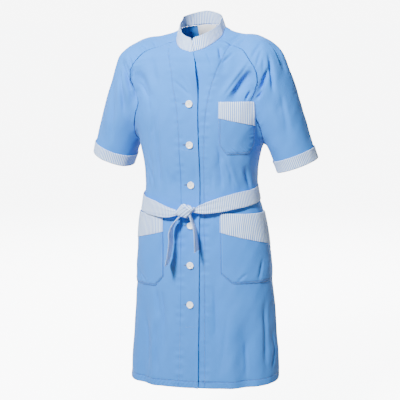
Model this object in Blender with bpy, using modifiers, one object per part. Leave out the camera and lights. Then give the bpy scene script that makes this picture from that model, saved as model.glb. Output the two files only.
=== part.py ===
"""A woman's work smock, worn shape with no wearer: hollow fronts, back and raglan sleeves, with a band
collar, turned-back cuffs, three patch pockets, six buttons and a tie belt.

Metres, +Z up. The origin is the centre of the neck, just below the back of its seam, where the wearer
holds the smock up. The smock faces -Y, so the wearer's right is at -X. One smooth surface, the form,
gives every piece its place: the panels are cut from it, and whatever lies on a panel is made from the
same points, moved out.
"""

import math

import bmesh
import bpy
import numpy as np
from mathutils import Matrix, Vector

# ------------------------------------------------------------------ driving sizes
HEM_HEIGHT = -1.005
WALL = 0.0014  # cloth of a panel
TRIM_WALL = 0.0012  # cloth of what is sewn on a panel
SEAM_GAP = 0.0004
BUTTON_COUNT = 6
BUTTON_PITCH = 0.1115
FIRST_BUTTON = -0.207
BUTTON_LINE = 0.003  # girth from centre front to the buttons
BUTTON_ACROSS = 0.020
BUTTON_DEEP = 0.0034
BUTTON_GAP = 0.0006  # kept to the cloth under it
CUFF_TALL, CUFF_WALL = 0.035, 0.0018
CUFF_PAST = 0.001  # how far a cuff reaches past the sleeve's end
COLLAR_TALL = 0.036
COLLAR_LEAN = 0.010

# Number of cells in the meshes
LOWER_ROWS, UPPER_ROWS = 19, 11
FRONT_COLUMNS, HALF_BACK_COLUMNS = 12, 10
SLEEVE_ROWS, HALF_SLEEVE_COLUMNS = 5, 9
SIDE_CROWDING = 1.3  # how much closer the columns stand towards the side seam


def rows(names, *values):
    """A short table as named columns. The first column is what the others are read against."""
    return dict(zip(names.split(), np.array(values, float).T))


# Level sections of the trunk: the depths are measured from the line through the neck's centre, and
# middle is where each section is widest, further back towards the neck.
TRUNK = rows(
    "height half_width front back squareness middle",
    (-1.060, 0.2200, 0.108, 0.200, 2.10, 0.000),
    (-1.005, 0.2180, 0.108, 0.198, 2.10, 0.000),
    (-0.850, 0.2070, 0.104, 0.190, 2.12, 0.000),
    (-0.700, 0.1960, 0.101, 0.178, 2.15, 0.000),
    (-0.560, 0.1830, 0.099, 0.156, 2.15, 0.000),
    (-0.430, 0.1600, 0.094, 0.132, 2.20, 0.000),
    (-0.330, 0.1710, 0.104, 0.136, 2.30, 0.000),
    (-0.230, 0.1850, 0.110, 0.138, 2.50, 0.000),
    (-0.150, 0.1740, 0.105, 0.130, 2.35, 0.000),
    (-0.100, 0.1640, 0.100, 0.118, 2.20, 0.002),
    (-0.070, 0.1540, 0.088, 0.108, 2.10, 0.007),
    (-0.050, 0.1430, 0.058, 0.099, 2.00, 0.014),
    (-0.030, 0.1200, 0.020, 0.088, 2.00, 0.022),
    (-0.014, 0.0800, -0.003, 0.077, 2.00, 0.028),
    (-0.002, 0.0600, -0.012, 0.071, 2.00, 0.030),
    (0.010, 0.0450, -0.016, 0.067, 2.00, 0.030),
    (0.060, 0.0400, -0.018, 0.062, 2.00, 0.030),
)

# The left arm's line, and its sections at distances along it from the shoulder, where a dome ends it.
SHOULDER = np.array((0.174, 0.004, -0.110))
SLEEVE_END = np.array((0.272, 0.030, -0.378))
ARM = rows(
    "reach across deep",
    (-0.100, 0.0520, 0.070),
    (0.000, 0.0660, 0.078),
    (0.080, 0.0680, 0.077),
    (0.160, 0.0635, 0.072),
    (0.240, 0.0590, 0.064),
    (0.300, 0.0580, 0.060),
    (0.360, 0.0580, 0.060),
)
ARM_DOME = 0.075
# How wide the trunk and the arm run into each other, by height: tight at the armpit, broad above.
MELT = rows("height reach", (-0.30, 0.030), (-0.20, 0.022), (-0.09, 0.055))

# The neck seam on the wearer's left, by the angle turned from centre front.
NECK = rows(
    "turn x y z",
    (0, 0.000, -0.0880, -0.0700),
    (30, 0.030, -0.0740, -0.0620),
    (60, 0.052, -0.0480, -0.0475),
    (90, 0.0660, -0.0040, -0.0270),
    (120, 0.0550, 0.0360, -0.0090),
    (150, 0.0280, 0.0610, 0.0010),
    (180, 0.0000, 0.0700, 0.0055),
)
FRONT_SEAM_TURN, SHOULDER_TURN, BACK_SEAM_TURN = 70.0, 90.0, 120.0
BACK_CENTRE_TURN = 179.999  # just short of where a turn wraps to the other side

# The raglan seams from the underarm up to the neck, and the line over the top of the sleeve.
UNDERARM = np.array((0.1770, 0.018, -0.280))
FRONT_SEAM = rows(
    "x y z",
    (0.173, -0.030, -0.250),
    (0.168, -0.056, -0.212),
    (0.176, -0.070, -0.176),
    (0.182, -0.074, -0.145),
    (0.174, -0.074, -0.110),
    (0.158, -0.068, -0.089),
    (0.136, -0.055, -0.067),
    (0.106, -0.048, -0.050),
    (0.082, -0.046, -0.036),
)
BACK_SEAM = rows(
    "x y z",
    (0.173, 0.035, -0.250),
    (0.168, 0.066, -0.210),
    (0.172, 0.080, -0.170),
    (0.168, 0.084, -0.130),
    (0.150, 0.082, -0.095),
    (0.120, 0.072, -0.060),
    (0.090, 0.058, -0.026),
)
SLEEVE_TOP = rows(
    "x y z",
    (0.236, 0.010, -0.160),
    (0.212, 0.006, -0.095),
    (0.165, 0.004, -0.036),
    (0.115, 0.000, -0.020),
)

# How far each front reaches past centre front, by height. The wearer's right front lies on top.
FRONT_EDGE = rows(
    "height over lap",
    (-1.100, 0.0280, 0.0480),
    (-0.165, 0.0270, 0.0470),
    (-0.130, 0.0235, 0.0270),
    (-0.102, 0.0185, -0.0007),
    (-0.068, 0.0090, -0.0007),
    (-0.040, 0.0050, -0.0007),
)
SINK = 0.0022  # how far the under front lies below the form, under the over front
SINK_FADE = 0.040  # girth over which it rises to the form again
SINK_FULL, SINK_NONE = -0.098, -0.076
GAPE = 0.004  # how far the over front's edge stands off above the first button
GAPE_FADE = 0.030
GAPE_TOP, GAPE_FOOT = -0.072, -0.195

# The belt presses the folds flat; the skirt swings a little below it.
BELT_PRESS, BELT_PRESS_HEIGHT, BELT_PRESS_REACH = 0.94, -0.472, 0.044
SWING, SWING_FADE, SWING_RISE = 0.008, 0.15, 0.058
SWING_TOP, SWING_REACH = -0.38, 0.32
SHOULDER_RISE, SHOULDER_FOOT, SHOULDER_REACH = 0.026, -0.100, 0.060

# The side seam's turn from centre front, by height.
SIDE = rows("height turn", (-1.10, 104), (-0.43, 103), (-0.35, 99), (-0.28, 95.5))

BLUE = (0.27, 0.50, 0.80, 1.0)
STRIPED = (0.60, 0.72, 0.88, 1.0)
WHITE = (0.86, 0.87, 0.88, 1.0)


# ------------------------------------------------------------------ curves through tables
def slopes(x, y):
    between = np.diff(y) / np.diff(x)
    out = np.empty_like(y)
    out[1:-1] = (between[1:] * np.diff(x)[:-1] + between[:-1] * np.diff(x)[1:]) / (x[2:] - x[:-2])
    out[0], out[-1] = between[0], between[-1]
    return out


def hermite(x, y, at):
    """A smooth curve through y at the places x, read at other places."""
    at = np.clip(at, x[0], x[-1])
    i = np.clip(np.searchsorted(x, at) - 1, 0, len(x) - 2)
    m = slopes(x, y)
    h = x[i + 1] - x[i]
    t = (at - x[i]) / h
    return (
        (2 * t**3 - 3 * t**2 + 1) * y[i]
        + (t**3 - 2 * t**2 + t) * h * m[i]
        + (3 * t**2 - 2 * t**3) * y[i + 1]
        + (t**3 - t**2) * h * m[i + 1]
    )


def read(table, name, at):
    return hermite(next(iter(table.values())), table[name], at)


def line_through(points, shares):
    """A smooth line through points, at shares of its length."""
    points = np.array(points, float)
    steps = np.r_[0, np.cumsum(np.linalg.norm(np.diff(points, axis=0), axis=1))]
    fine = np.linspace(0, steps[-1], 400)
    dense = np.stack([hermite(steps, column, fine) for column in points.T], -1)
    run = np.r_[0, np.cumsum(np.linalg.norm(np.diff(dense, axis=0), axis=1))]
    return np.stack([np.interp(np.asarray(shares) * run[-1], run, column) for column in dense.T], -1)


def ease(t):
    t = np.clip(t, 0, 1)
    return t * t * (3 - 2 * t)


# ------------------------------------------------------------------ the form
ARM_LINE = SLEEVE_END - SHOULDER
ARM_LENGTH = float(np.linalg.norm(ARM_LINE))
ARM_LINE = ARM_LINE / ARM_LENGTH
ARM_OUTWARD = np.cross((0, 1, 0), ARM_LINE)
ARM_OUTWARD = -ARM_OUTWARD / np.linalg.norm(ARM_OUTWARD)
ARM_BACKWARD = np.cross(ARM_LINE, ARM_OUTWARD)
ARM_BACKWARD = ARM_BACKWARD * np.sign(ARM_BACKWARD[1])


FLARE_STEP = 0.002


def trunk_distance(p):
    """About how far points lie outside the trunk; negative inside it."""
    x, y, z = np.moveaxis(p, -1, 0)
    a, n, middle = (read(TRUNK, name, z) for name in ("half_width", "squareness", "middle"))
    y = y - middle
    b = np.where(y < 0, read(TRUNK, "front", z) + middle, read(TRUNK, "back", z) - middle)
    share = (np.abs(x / a) ** n + np.abs(y / b) ** n) ** (1 / n)
    r = np.hypot(x, y)
    wider = read(TRUNK, "half_width", z + FLARE_STEP) - read(TRUNK, "half_width", z - FLARE_STEP)
    flare = wider / (2 * FLARE_STEP)
    return (r - r / np.maximum(share, 1e-6)) / np.sqrt(1 + flare**2)


def arm_distance(p):
    """The same for the nearer arm, which ends in a dome above the shoulder."""
    d = np.stack((np.abs(p[..., 0]), p[..., 1], p[..., 2]), -1) - SHOULDER
    t = d @ ARM_LINE
    u, v = d @ ARM_OUTWARD, d @ ARM_BACKWARD
    above = np.minimum(t, 0)
    across, deep = read(ARM, "across", t), read(ARM, "deep", t)
    share = np.sqrt((u / across) ** 2 + (v / deep) ** 2 + (above / ARM_DOME) ** 2)
    r = np.sqrt(u * u + v * v + above**2)
    return r - r / np.maximum(share, 1e-6)


def form_distance(p):
    a, b = trunk_distance(p), arm_distance(p)
    k = np.interp(p[..., 2], MELT["height"], MELT["reach"])
    shared = np.maximum(k - np.abs(a - b), 0) / k
    return np.minimum(a, b) - shared**2 * k / 4


SLOPE_STEP = 0.0006
LEAST_SLOPE, MOST_STEP = 0.05, 0.02  # what keeps a point from jumping where the form is nearly flat


def form_slope(p, step=SLOPE_STEP):
    out = np.empty(p.shape)
    for i, e in enumerate(np.eye(3) * step):
        out[..., i] = (form_distance(p + e) - form_distance(p - e)) / (2 * step)
    return out


def settle(p, rounds=8):
    """Points moved onto the form, each along the form's slope."""
    p = np.array(p, float)
    for _ in range(rounds):
        g = form_slope(p)
        step = (form_distance(p) / np.maximum((g * g).sum(-1), LEAST_SLOPE))[..., None] * g
        size = np.linalg.norm(step, axis=-1, keepdims=True)
        p -= step * np.minimum(1, MOST_STEP / np.maximum(size, 1e-9))
    return p


def outward(p):
    g = form_slope(p)
    return g / np.linalg.norm(g, axis=-1, keepdims=True)


# ------------------------------------------------------------------ folds
# Soft folds: a line on the cloth from one end to the other, its half width, and how far it is raised.
# A trough has a negative height. y only says whether the line is on the front or the back.
FOLDS = rows(
    "x1 y1 z1 x2 y2 z2 width height",
    # from the shoulder seams across the chest
    (0.170, -0.066, -0.080, 0.088, -0.097, -0.195, 0.014, 0.0035),
    (0.164, -0.073, -0.112, 0.118, -0.085, -0.205, 0.020, -0.0060),
    (0.100, -0.080, -0.075, 0.088, -0.092, -0.130, 0.016, -0.0030),
    (-0.164, -0.071, -0.120, -0.108, -0.088, -0.205, 0.018, -0.0050),
    (-0.120, -0.070, -0.080, -0.095, -0.092, -0.160, 0.016, -0.0030),
    # at the armpits, in front
    (0.210, -0.062, -0.110, 0.178, -0.068, -0.196, 0.011, -0.0050),
    (-0.200, -0.064, -0.098, -0.170, -0.058, -0.215, 0.011, -0.0050),
    # sleeves, in front
    (0.207, -0.050, -0.078, 0.226, -0.066, -0.180, 0.011, -0.0040),
    (0.202, -0.006, -0.049, 0.245, -0.020, -0.125, 0.011, -0.0040),
    (0.232, -0.060, -0.190, 0.262, -0.040, -0.300, 0.016, -0.0035),
    (-0.210, -0.051, -0.084, -0.184, -0.072, -0.180, 0.011, -0.0040),
    (-0.217, -0.058, -0.108, -0.200, -0.066, -0.255, 0.012, -0.0045),
    (-0.236, -0.050, -0.130, -0.250, -0.050, -0.290, 0.014, -0.0035),
    # down the fronts to the belt
    (-0.105, -0.096, -0.235, -0.093, -0.083, -0.475, 0.015, -0.0035),
    (0.080, -0.096, -0.335, 0.089, -0.084, -0.460, 0.011, -0.0030),
    (0.096, -0.090, -0.330, 0.132, -0.064, -0.470, 0.015, 0.0030),
    (0.140, -0.053, -0.370, 0.158, -0.028, -0.455, 0.012, -0.0040),
    (-0.140, -0.053, -0.380, -0.150, -0.030, -0.470, 0.014, -0.0035),
    (-0.050, -0.096, -0.400, -0.044, -0.093, -0.490, 0.014, -0.0025),
    # the skirt, in front
    (0.066, -0.097, -0.650, 0.076, -0.100, -0.900, 0.020, -0.0035),
    (0.150, -0.077, -0.800, 0.156, -0.080, -1.060, 0.028, -0.0060),
    (0.112, -0.090, -0.760, 0.112, -0.098, -1.060, 0.026, 0.0040),
    (-0.090, -0.093, -0.720, -0.082, -0.098, -0.930, 0.018, -0.0035),
    (-0.150, -0.070, -0.740, -0.160, -0.076, -1.060, 0.028, -0.0050),
    (-0.118, -0.085, -0.760, -0.120, -0.095, -1.060, 0.024, 0.0035),
    (0.205, 0.020, -0.700, 0.220, 0.010, -1.060, 0.035, 0.0060),
    # the back
    (0.150, 0.095, -0.130, 0.100, 0.120, -0.240, 0.022, -0.0050),
    (-0.155, 0.092, -0.120, -0.105, 0.118, -0.250, 0.022, -0.0055),
    (0.060, 0.125, -0.300, 0.072, 0.118, -0.450, 0.018, -0.0050),
    (-0.030, 0.130, -0.320, -0.036, 0.125, -0.455, 0.016, -0.0040),
    (-0.098, 0.112, -0.310, -0.090, 0.108, -0.460, 0.020, -0.0050),
    (0.124, 0.100, -0.320, 0.116, 0.098, -0.425, 0.014, 0.0035),
    (0.030, 0.130, -0.470, 0.046, 0.185, -1.060, 0.034, -0.0080),
    (-0.052, 0.128, -0.470, -0.070, 0.180, -1.060, 0.036, -0.0080),
    (-0.004, 0.130, -0.480, -0.008, 0.190, -1.060, 0.030, 0.0060),
    (0.115, 0.100, -0.490, 0.146, 0.140, -1.060, 0.034, -0.0070),
    (-0.125, 0.095, -0.500, -0.150, 0.135, -1.060, 0.034, -0.0070),
    (0.088, 0.115, -0.500, 0.100, 0.165, -1.060, 0.026, 0.0050),
    # sleeves, behind
    (0.200, 0.062, -0.090, 0.214, 0.078, -0.200, 0.014, -0.0045),
    (-0.204, 0.060, -0.088, -0.210, 0.078, -0.210, 0.014, -0.0050),
    (0.236, 0.078, -0.190, 0.258, 0.080, -0.300, 0.018, -0.0040),
    (-0.240, 0.076, -0.180, -0.252, 0.082, -0.310, 0.018, -0.0035),
    (-0.250, 0.010, -0.150, -0.290, 0.030, -0.400, 0.030, 0.0070),
)
FOLD_TAPER, FOLD_START = 0.35, 0.15  # share of a fold over which it grows, and how much it starts with
FOLD_DEPTH = 0.03  # a fold moves nothing further than this behind its line


def fold_height(p, n):
    """How far the folds move points of the form along its outward direction n."""
    out = np.zeros(p.shape[:-1])
    for x1, y1, z1, x2, y2, z2, width, height in zip(*FOLDS.values()):
        start, run = np.array((x1, y1, z1)), np.array((x2 - x1, y2 - y1, z2 - z1))
        t = np.clip((p - start) @ run / (run @ run), 0, 1)
        away = p - start - t[..., None] * run
        deep = (away * n).sum(-1)
        across = np.linalg.norm(away - deep[..., None] * n, axis=-1) / width
        ends = ease(np.minimum(t, 1 - t) / FOLD_TAPER + FOLD_START)
        near = 1 - ease(np.abs(deep) / FOLD_DEPTH - 1)
        out += height * ends * near * (1 - across**2) * np.exp(-(across**2))
    return out * (1 - BELT_PRESS * np.exp(-(((p[..., 2] - BELT_PRESS_HEIGHT) / BELT_PRESS_REACH) ** 4)))


def hang(p):
    """How it hangs: the skirt swings and rises to the wearer's left, and that shoulder is the higher."""
    p = np.array(p, float)
    low = ease((SWING_TOP - p[..., 2]) / SWING_REACH)
    high = ease((p[..., 2] - SHOULDER_FOOT) / SHOULDER_REACH)
    p[..., 2] += (SWING_RISE * low + SHOULDER_RISE * high) * p[..., 0]
    p[..., 0] += SWING * low * ease(np.abs(p[..., 0]) / SWING_FADE)
    return p


def cloth(p, extra=0.0):
    """(points, outward) of the cloth's outer face at points of the form, moved out by extra."""
    n = outward(p)
    return hang(p + n * (fold_height(p, n) + extra)[..., None]), n


# ------------------------------------------------------------------ places on the form
HALF_TURN = np.linspace(0, math.pi, 121)


def trunk_point(turn, height):
    """The trunk's point at an angle turned from centre front, positive to the wearer's left."""
    a, n, middle = (read(TRUNK, name, height) for name in ("half_width", "squareness", "middle"))
    c, s = np.cos(turn), np.sin(turn)
    b = np.where(c > 0, read(TRUNK, "front", height) + middle, read(TRUNK, "back", height) - middle)
    x, y = a * np.sign(s) * np.abs(s) ** (2 / n), middle - b * np.sign(c) * np.abs(c) ** (2 / n)
    return np.stack((x, y, height + 0 * turn), -1)


def ring_runs(height):
    """The girth from centre front to each of HALF_TURN at each height."""
    ring = trunk_point(HALF_TURN[None, :], np.ravel(height)[:, None])
    steps = np.linalg.norm(np.diff(ring, axis=1), axis=2)
    return np.c_[np.zeros(len(ring)), np.cumsum(steps, axis=1)]


def at_girth(girth, height):
    """Points of the form at a girth from centre front, positive to the wearer's left."""
    girth, height = np.broadcast_arrays(np.asarray(girth, float), np.asarray(height, float))
    runs = ring_runs(height)
    turn = np.array([np.interp(abs(g), run, HALF_TURN) for g, run in zip(girth.ravel(), runs)])
    turn = turn.reshape(girth.shape) * np.sign(girth)
    return settle(trunk_point(turn, height))


def side_girth(height):
    """The girth from centre front to the side seam."""
    height = np.asarray(height, float)
    turn = np.radians(read(SIDE, "turn", height)).ravel()
    girth = [np.interp(t, HALF_TURN, run) for t, run in zip(turn, ring_runs(height))]
    return np.array(girth).reshape(height.shape)


def neck_point(turn):
    """Points of the neck seam at an angle in degrees from centre front, positive to the wearer's left."""
    turn = (np.asarray(turn, float) + 180) % 360 - 180
    p = np.stack([read(NECK, axis, np.abs(turn)) for axis in "xyz"], -1)
    p[..., 0] *= np.where(turn < 0, -1, 1)
    return settle(p)


def neck_turn(x):
    """The angle at which the neck seam's front passes x."""
    turns = np.linspace(-40, 40, 81)
    return float(np.interp(x, neck_point(turns)[:, 0], turns))


def patch(bottom, top, left, right):
    """A surface between four lines: bottom and top run across, left and right run up."""
    u = np.linspace(0, 1, len(bottom))[None, :, None]
    v = np.linspace(0, 1, len(left))[:, None, None]
    across = (1 - v) * bottom[None] + v * top[None]
    up = (1 - u) * left[:, None] + u * right[:, None]
    low = (1 - u) * bottom[0] + u * bottom[-1]
    high = (1 - u) * top[0] + u * top[-1]
    return across + up - (1 - v) * low - v * high


def seam_line(table, start, end):
    """UPPER_ROWS cells of a seam on the form, from start through the table's points to end."""
    points = [start, *zip(*table.values()), end]
    line = settle(line_through(points, np.linspace(0, 1, UPPER_ROWS + 1)))
    line[0], line[-1] = start, end
    return line


ARMPIT = settle(UNDERARM)
FRONT_LINE = seam_line(FRONT_SEAM, ARMPIT, neck_point(FRONT_SEAM_TURN))
BACK_LINE = seam_line(BACK_SEAM, ARMPIT, neck_point(BACK_SEAM_TURN))


# ------------------------------------------------------------------ solids
def inset(grid, left=True, right=True, bottom=False, top=True):
    """The grid with its chosen borders drawn in by half a seam's gap."""
    out = grid.copy()
    for wanted, edge, inner in (
        (left, np.s_[:, 0], np.s_[:, 1]),
        (right, np.s_[:, -1], np.s_[:, -2]),
        (bottom, np.s_[0], np.s_[1]),
        (top, np.s_[-1], np.s_[-2]),
    ):
        if wanted:
            inwards = grid[inner] - grid[edge]
            out[edge] += inwards / np.linalg.norm(inwards, axis=-1, keepdims=True) * (SEAM_GAP / 2)
    return out


def plain_material(name, colour, roughness):
    material = bpy.data.materials.new(name)
    material.use_nodes = True
    shader = material.node_tree.nodes["Principled BSDF"]
    shader.inputs["Base Color"].default_value = colour
    shader.inputs["Roughness"].default_value = roughness
    shader.inputs["Metallic"].default_value = 0.0
    return material


def grid_faces(height, width):
    """The cells of a grid of points, as corners numbered row by row."""
    r, c = np.mgrid[0 : height - 1, 0 : width - 1]
    first = r * width + c
    return np.stack((first, first + 1, first + width + 1, first + width), -1).reshape(-1, 4)


def walled(name, material, points, normals, thickness, same=None):
    """A closed wall: its outer face goes through a grid of points, its inner one thickness behind.

    same maps the number of a point to that of the one it is joined to, as where a tube closes."""
    faces = grid_faces(*points.shape[:2])
    if same is not None:
        faces = same[faces]
    outer = points.reshape(-1, 3)
    inner = outer - normals.reshape(-1, 3) * thickness
    mesh = bpy.data.meshes.new(name)
    mesh.materials.append(material)
    shape = bmesh.new()
    out = [shape.verts.new(p) for p in outer]
    back = [shape.verts.new(p) for p in inner]
    for a, b, c, d in faces:
        shape.faces.new((out[a], out[b], out[c], out[d]))
        shape.faces.new((back[d], back[c], back[b], back[a]))
    shape.verts.index_update()
    for edge in [edge for edge in shape.edges if edge.is_boundary]:
        a, b = (vert.index for vert in edge.verts)
        if max(a, b) < len(out):
            shape.faces.new((out[a], out[b], back[b], back[a]))
    bmesh.ops.delete(shape, geom=[v for v in shape.verts if not v.link_faces], context="VERTS")
    bmesh.ops.recalc_face_normals(shape, faces=shape.faces)
    shape.to_mesh(mesh)
    shape.free()
    mesh.shade_smooth()
    mesh.set_sharp_from_angle(angle=math.radians(50))
    piece = bpy.data.objects.new(name, mesh)
    SMOCK.objects.link(piece)
    return piece


# ------------------------------------------------------------------ panels
def edge_girth(side, height):
    """A front's free edge as a girth towards its own side; side is 1 for the wearer's left, -1 right."""
    over = read(FRONT_EDGE, "over", height)
    return over - np.interp(height, FRONT_EDGE["height"], FRONT_EDGE["lap"]) if side > 0 else -over


def front_lift(side, girth, height):
    """How far a front stands off the form: the under one sinks, the over one gapes at its edge."""
    over = read(FRONT_EDGE, "over", height)
    if side > 0:
        beside = 1 - ease((girth - over) / SINK_FADE)
        return -SINK * beside * ease((SINK_NONE - height) / (SINK_NONE - SINK_FULL))
    along = np.clip((height - GAPE_FOOT) / (GAPE_TOP - GAPE_FOOT), 0, 1)
    return GAPE * np.sin(math.pi * along) ** 2 * ease(1 - (over + girth) / GAPE_FADE)


def mirrored(points, side):
    return points * np.array((side, 1, 1))


def front_grid(side):
    """(points, girths) of a front on the form, as if it were the wearer's left one."""
    across = 1 - (1 - np.linspace(0, 1, FRONT_COLUMNS + 1)) ** SIDE_CROWDING
    heights = np.linspace(HEM_HEIGHT, ARMPIT[2], LOWER_ROWS + 1)
    edge, seam = edge_girth(side, heights), side_girth(heights)
    girth = edge[:, None] + (seam - edge)[:, None] * across
    lower = at_girth(girth, heights[:, None])
    lower[-1, -1] = ARMPIT
    neck_edge = neck_turn(side * float(edge_girth(side, NECK["z"][0])))
    top = neck_point(side * neck_edge + (FRONT_SEAM_TURN - side * neck_edge) * across)
    above = np.linspace(ARMPIT[2], top[0, 2], UPPER_ROWS + 1)
    left = at_girth(edge_girth(side, above), above)
    left[-1] = top[0]
    upper = settle(patch(lower[-1], top, left, FRONT_LINE))
    upper_girth = edge_girth(side, above)[:, None] + (upper[..., 0] - left[:, None, 0])
    return np.concatenate((lower, upper[1:])), np.concatenate((girth, upper_girth[1:]))


def front(side, name):
    grid, girth = front_grid(side)
    base = mirrored(grid, side)
    lift = front_lift(side, girth, base[..., 2])
    points, normals = cloth(base, lift)
    return walled(name, CLOTH, inset(points, left=False), normals, WALL)


def back():
    across = np.linspace(0, 1, HALF_BACK_COLUMNS + 1) ** SIDE_CROWDING
    heights = np.linspace(HEM_HEIGHT, ARMPIT[2], LOWER_ROWS + 1)
    seam, whole = side_girth(heights), ring_runs(heights)[:, -1]
    lower = at_girth(seam[:, None] + (whole - seam)[:, None] * across, heights[:, None])
    lower[-1, 0] = ARMPIT
    top = neck_point(BACK_SEAM_TURN + (BACK_CENTRE_TURN - BACK_SEAM_TURN) * across)
    above = np.linspace(ARMPIT[2], top[-1, 2], UPPER_ROWS + 1)
    middle = at_girth(ring_runs(above)[:, -1], above)
    middle[-1] = top[-1]
    half = np.concatenate((lower, settle(patch(lower[-1], top, BACK_LINE, middle))[1:]))
    half[:, -1, 0] = 0
    base = np.concatenate((half, mirrored(half[:, -2::-1], -1)), axis=1)
    points, normals = cloth(base)
    return walled("back", CLOTH, inset(points), normals, WALL)


def arm_point(around, reach):
    """The form's point round the left arm, from the underarm forwards, at a distance along it."""
    around, reach = np.broadcast_arrays(around, reach)
    across, deep = read(ARM, "across", reach), read(ARM, "deep", reach)
    centre = SHOULDER + reach[..., None] * ARM_LINE
    inward = (across * np.cos(around))[..., None] * ARM_OUTWARD
    forward = (deep * np.sin(around))[..., None] * ARM_BACKWARD
    return settle(centre - inward - forward)


UNDERARM_REACH = float((ARMPIT - SHOULDER) @ ARM_LINE)
UNDERARM_TURN = math.atan2(-(ARMPIT - SHOULDER) @ ARM_BACKWARD, -(ARMPIT - SHOULDER) @ ARM_OUTWARD)
SLEEVE_TURNS = UNDERARM_TURN + np.linspace(0, 2 * math.pi, 2 * HALF_SLEEVE_COLUMNS + 1)


def sleeve_grid():
    """The left sleeve on the form: rings from its end up to the underarm, then its raglan cap."""
    reaches = np.linspace(ARM_LENGTH, UNDERARM_REACH, SLEEVE_ROWS + 1)
    tube = arm_point(SLEEVE_TURNS, reaches[:, None])
    tube[-1, 0] = tube[-1, -1] = ARMPIT
    half, neck = HALF_SLEEVE_COLUMNS, neck_point(SHOULDER_TURN)
    ridge = seam_line(SLEEVE_TOP, tube[-1, half], neck)
    share = np.linspace(0, 1, half + 1)
    front_neck = neck_point(FRONT_SEAM_TURN + (SHOULDER_TURN - FRONT_SEAM_TURN) * share)
    back_neck = neck_point(SHOULDER_TURN + (BACK_SEAM_TURN - SHOULDER_TURN) * share)
    front_cap = settle(patch(tube[-1, : half + 1], front_neck, FRONT_LINE, ridge))
    back_cap = settle(patch(tube[-1, half:], back_neck, ridge, BACK_LINE))
    cap = np.concatenate((front_cap, back_cap[:, 1:]), axis=1)
    return np.concatenate((tube, cap[1:]))


def sleeve(side, name):
    base = mirrored(sleeve_grid(), side)
    points, normals = cloth(base)
    drawn = inset(points)
    drawn[: SLEEVE_ROWS + 1] = points[: SLEEVE_ROWS + 1]
    drawn[SLEEVE_ROWS, [0, -1]] += ARM_LINE * (side, 1, 1) * SEAM_GAP / 2
    same = np.arange(points.shape[0] * points.shape[1]).reshape(points.shape[:2])
    same[: SLEEVE_ROWS + 1, -1] = same[: SLEEVE_ROWS + 1, 0]
    return walled(name, CLOTH, drawn, normals, WALL, same.ravel())


def cuff(side, name):
    """A turned-back cuff: a ring of trim round the sleeve's end."""
    reaches = ARM_LENGTH + CUFF_PAST - np.linspace(0, CUFF_TALL, 3)
    base = mirrored(arm_point(SLEEVE_TURNS, reaches[:, None]), side)
    points, normals = cloth(base, SEAM_GAP + CUFF_WALL)
    same = np.arange(points.shape[0] * points.shape[1]).reshape(points.shape[:2])
    same[:, -1] = same[:, 0]
    return walled(name, TRIM, points, normals, CUFF_WALL, same.ravel())


# ------------------------------------------------------------------ what is sewn on
COLLAR_END = 0.3  # half the gap between the collar's ends, in degrees
COLLAR_SHEAR = -9.0  # turn of the ends' top from their foot
COLLAR_SHEAR_FADE = 45.0
COLLAR_ROUND = 0.009  # of the ends' top corners
COLLAR_RADIUS = 0.080  # about the neck's
COLLAR_COLUMNS, COLLAR_CROWDING = 46, 1.25
COLLAR_ROWS = (0.0, 0.35, 0.7, 1.0)


def collar():
    """A band standing on the neck seam and leaning inwards, its ends meeting just past centre front."""
    meet = neck_turn(float(read(FRONT_EDGE, "over", NECK["z"][0])) - SEAM_GAP / 2)
    share = np.linspace(-1, 1, COLLAR_COLUMNS + 1)
    share = np.sign(share) * (1 - (1 - np.abs(share)) ** COLLAR_CROWDING)
    turn = meet + 180 + share * (180 - COLLAR_END)
    centre = neck_point(turn).mean(axis=0) * (0, 1, 0)
    from_end = (1 - np.abs(share)) * math.pi * COLLAR_RADIUS
    curve = np.clip(1 - from_end / COLLAR_ROUND, 0, 1)
    tall = COLLAR_TALL - COLLAR_ROUND * (1 - np.sqrt(1 - curve**2))
    from_front = 180 - np.abs(turn - 180)
    shear = COLLAR_SHEAR * (1 - ease(from_front / COLLAR_SHEAR_FADE))
    grid = []
    for up in COLLAR_ROWS:
        row = neck_point(turn + shear * up)
        row -= radial_from(row, centre) * COLLAR_LEAN * up
        row[:, 2] += 1.5 * SEAM_GAP + up * tall
        grid.append(row)
    grid = np.array(grid)
    return walled("collar", TRIM, hang(grid), radial_from(grid, centre), TRIM_WALL)


def radial_from(points, centre):
    """Level unit directions from an upright line through centre."""
    radial = (points - centre) * (1, 1, 0)
    return radial / np.linalg.norm(radial, axis=-1, keepdims=True)


# Patch pockets, on a front's girth: where each starts, its width (none if it reaches the side seam, so
# that about is its usual one), its top and foot, and its cut corners.
CHEST_POCKET = dict(start=0.084, width=0.104, about=0.104, top=-0.200, foot=-0.344, corner=(0.020, 0.026))
CHEST_BAND = dict(inner=0.044, outer=0.066)
HIP_POCKET = dict(start=0.083, width=None, about=0.180, top=-0.506, foot=-0.706, corner=(0.030, 0.030))
HIP_BAND = dict(inner=0.054, outer=0.092)
HIP_DROP = 0.011  # how much lower the wearer's right hip pocket hangs
NO_CORNER = (1.0, 0.0)
SIDE_CLEAR = 0.004  # between a hip pocket and the side seam
POCKET_BELLY = 0.0025
POCKET_GAP = 0.0012  # kept to the rounded panel beneath
BAND_GAP = 0.0006  # between a pocket and its band
POCKET_COLUMNS, POCKET_ROWS, BAND_ROWS = 10, 6, 3


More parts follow.
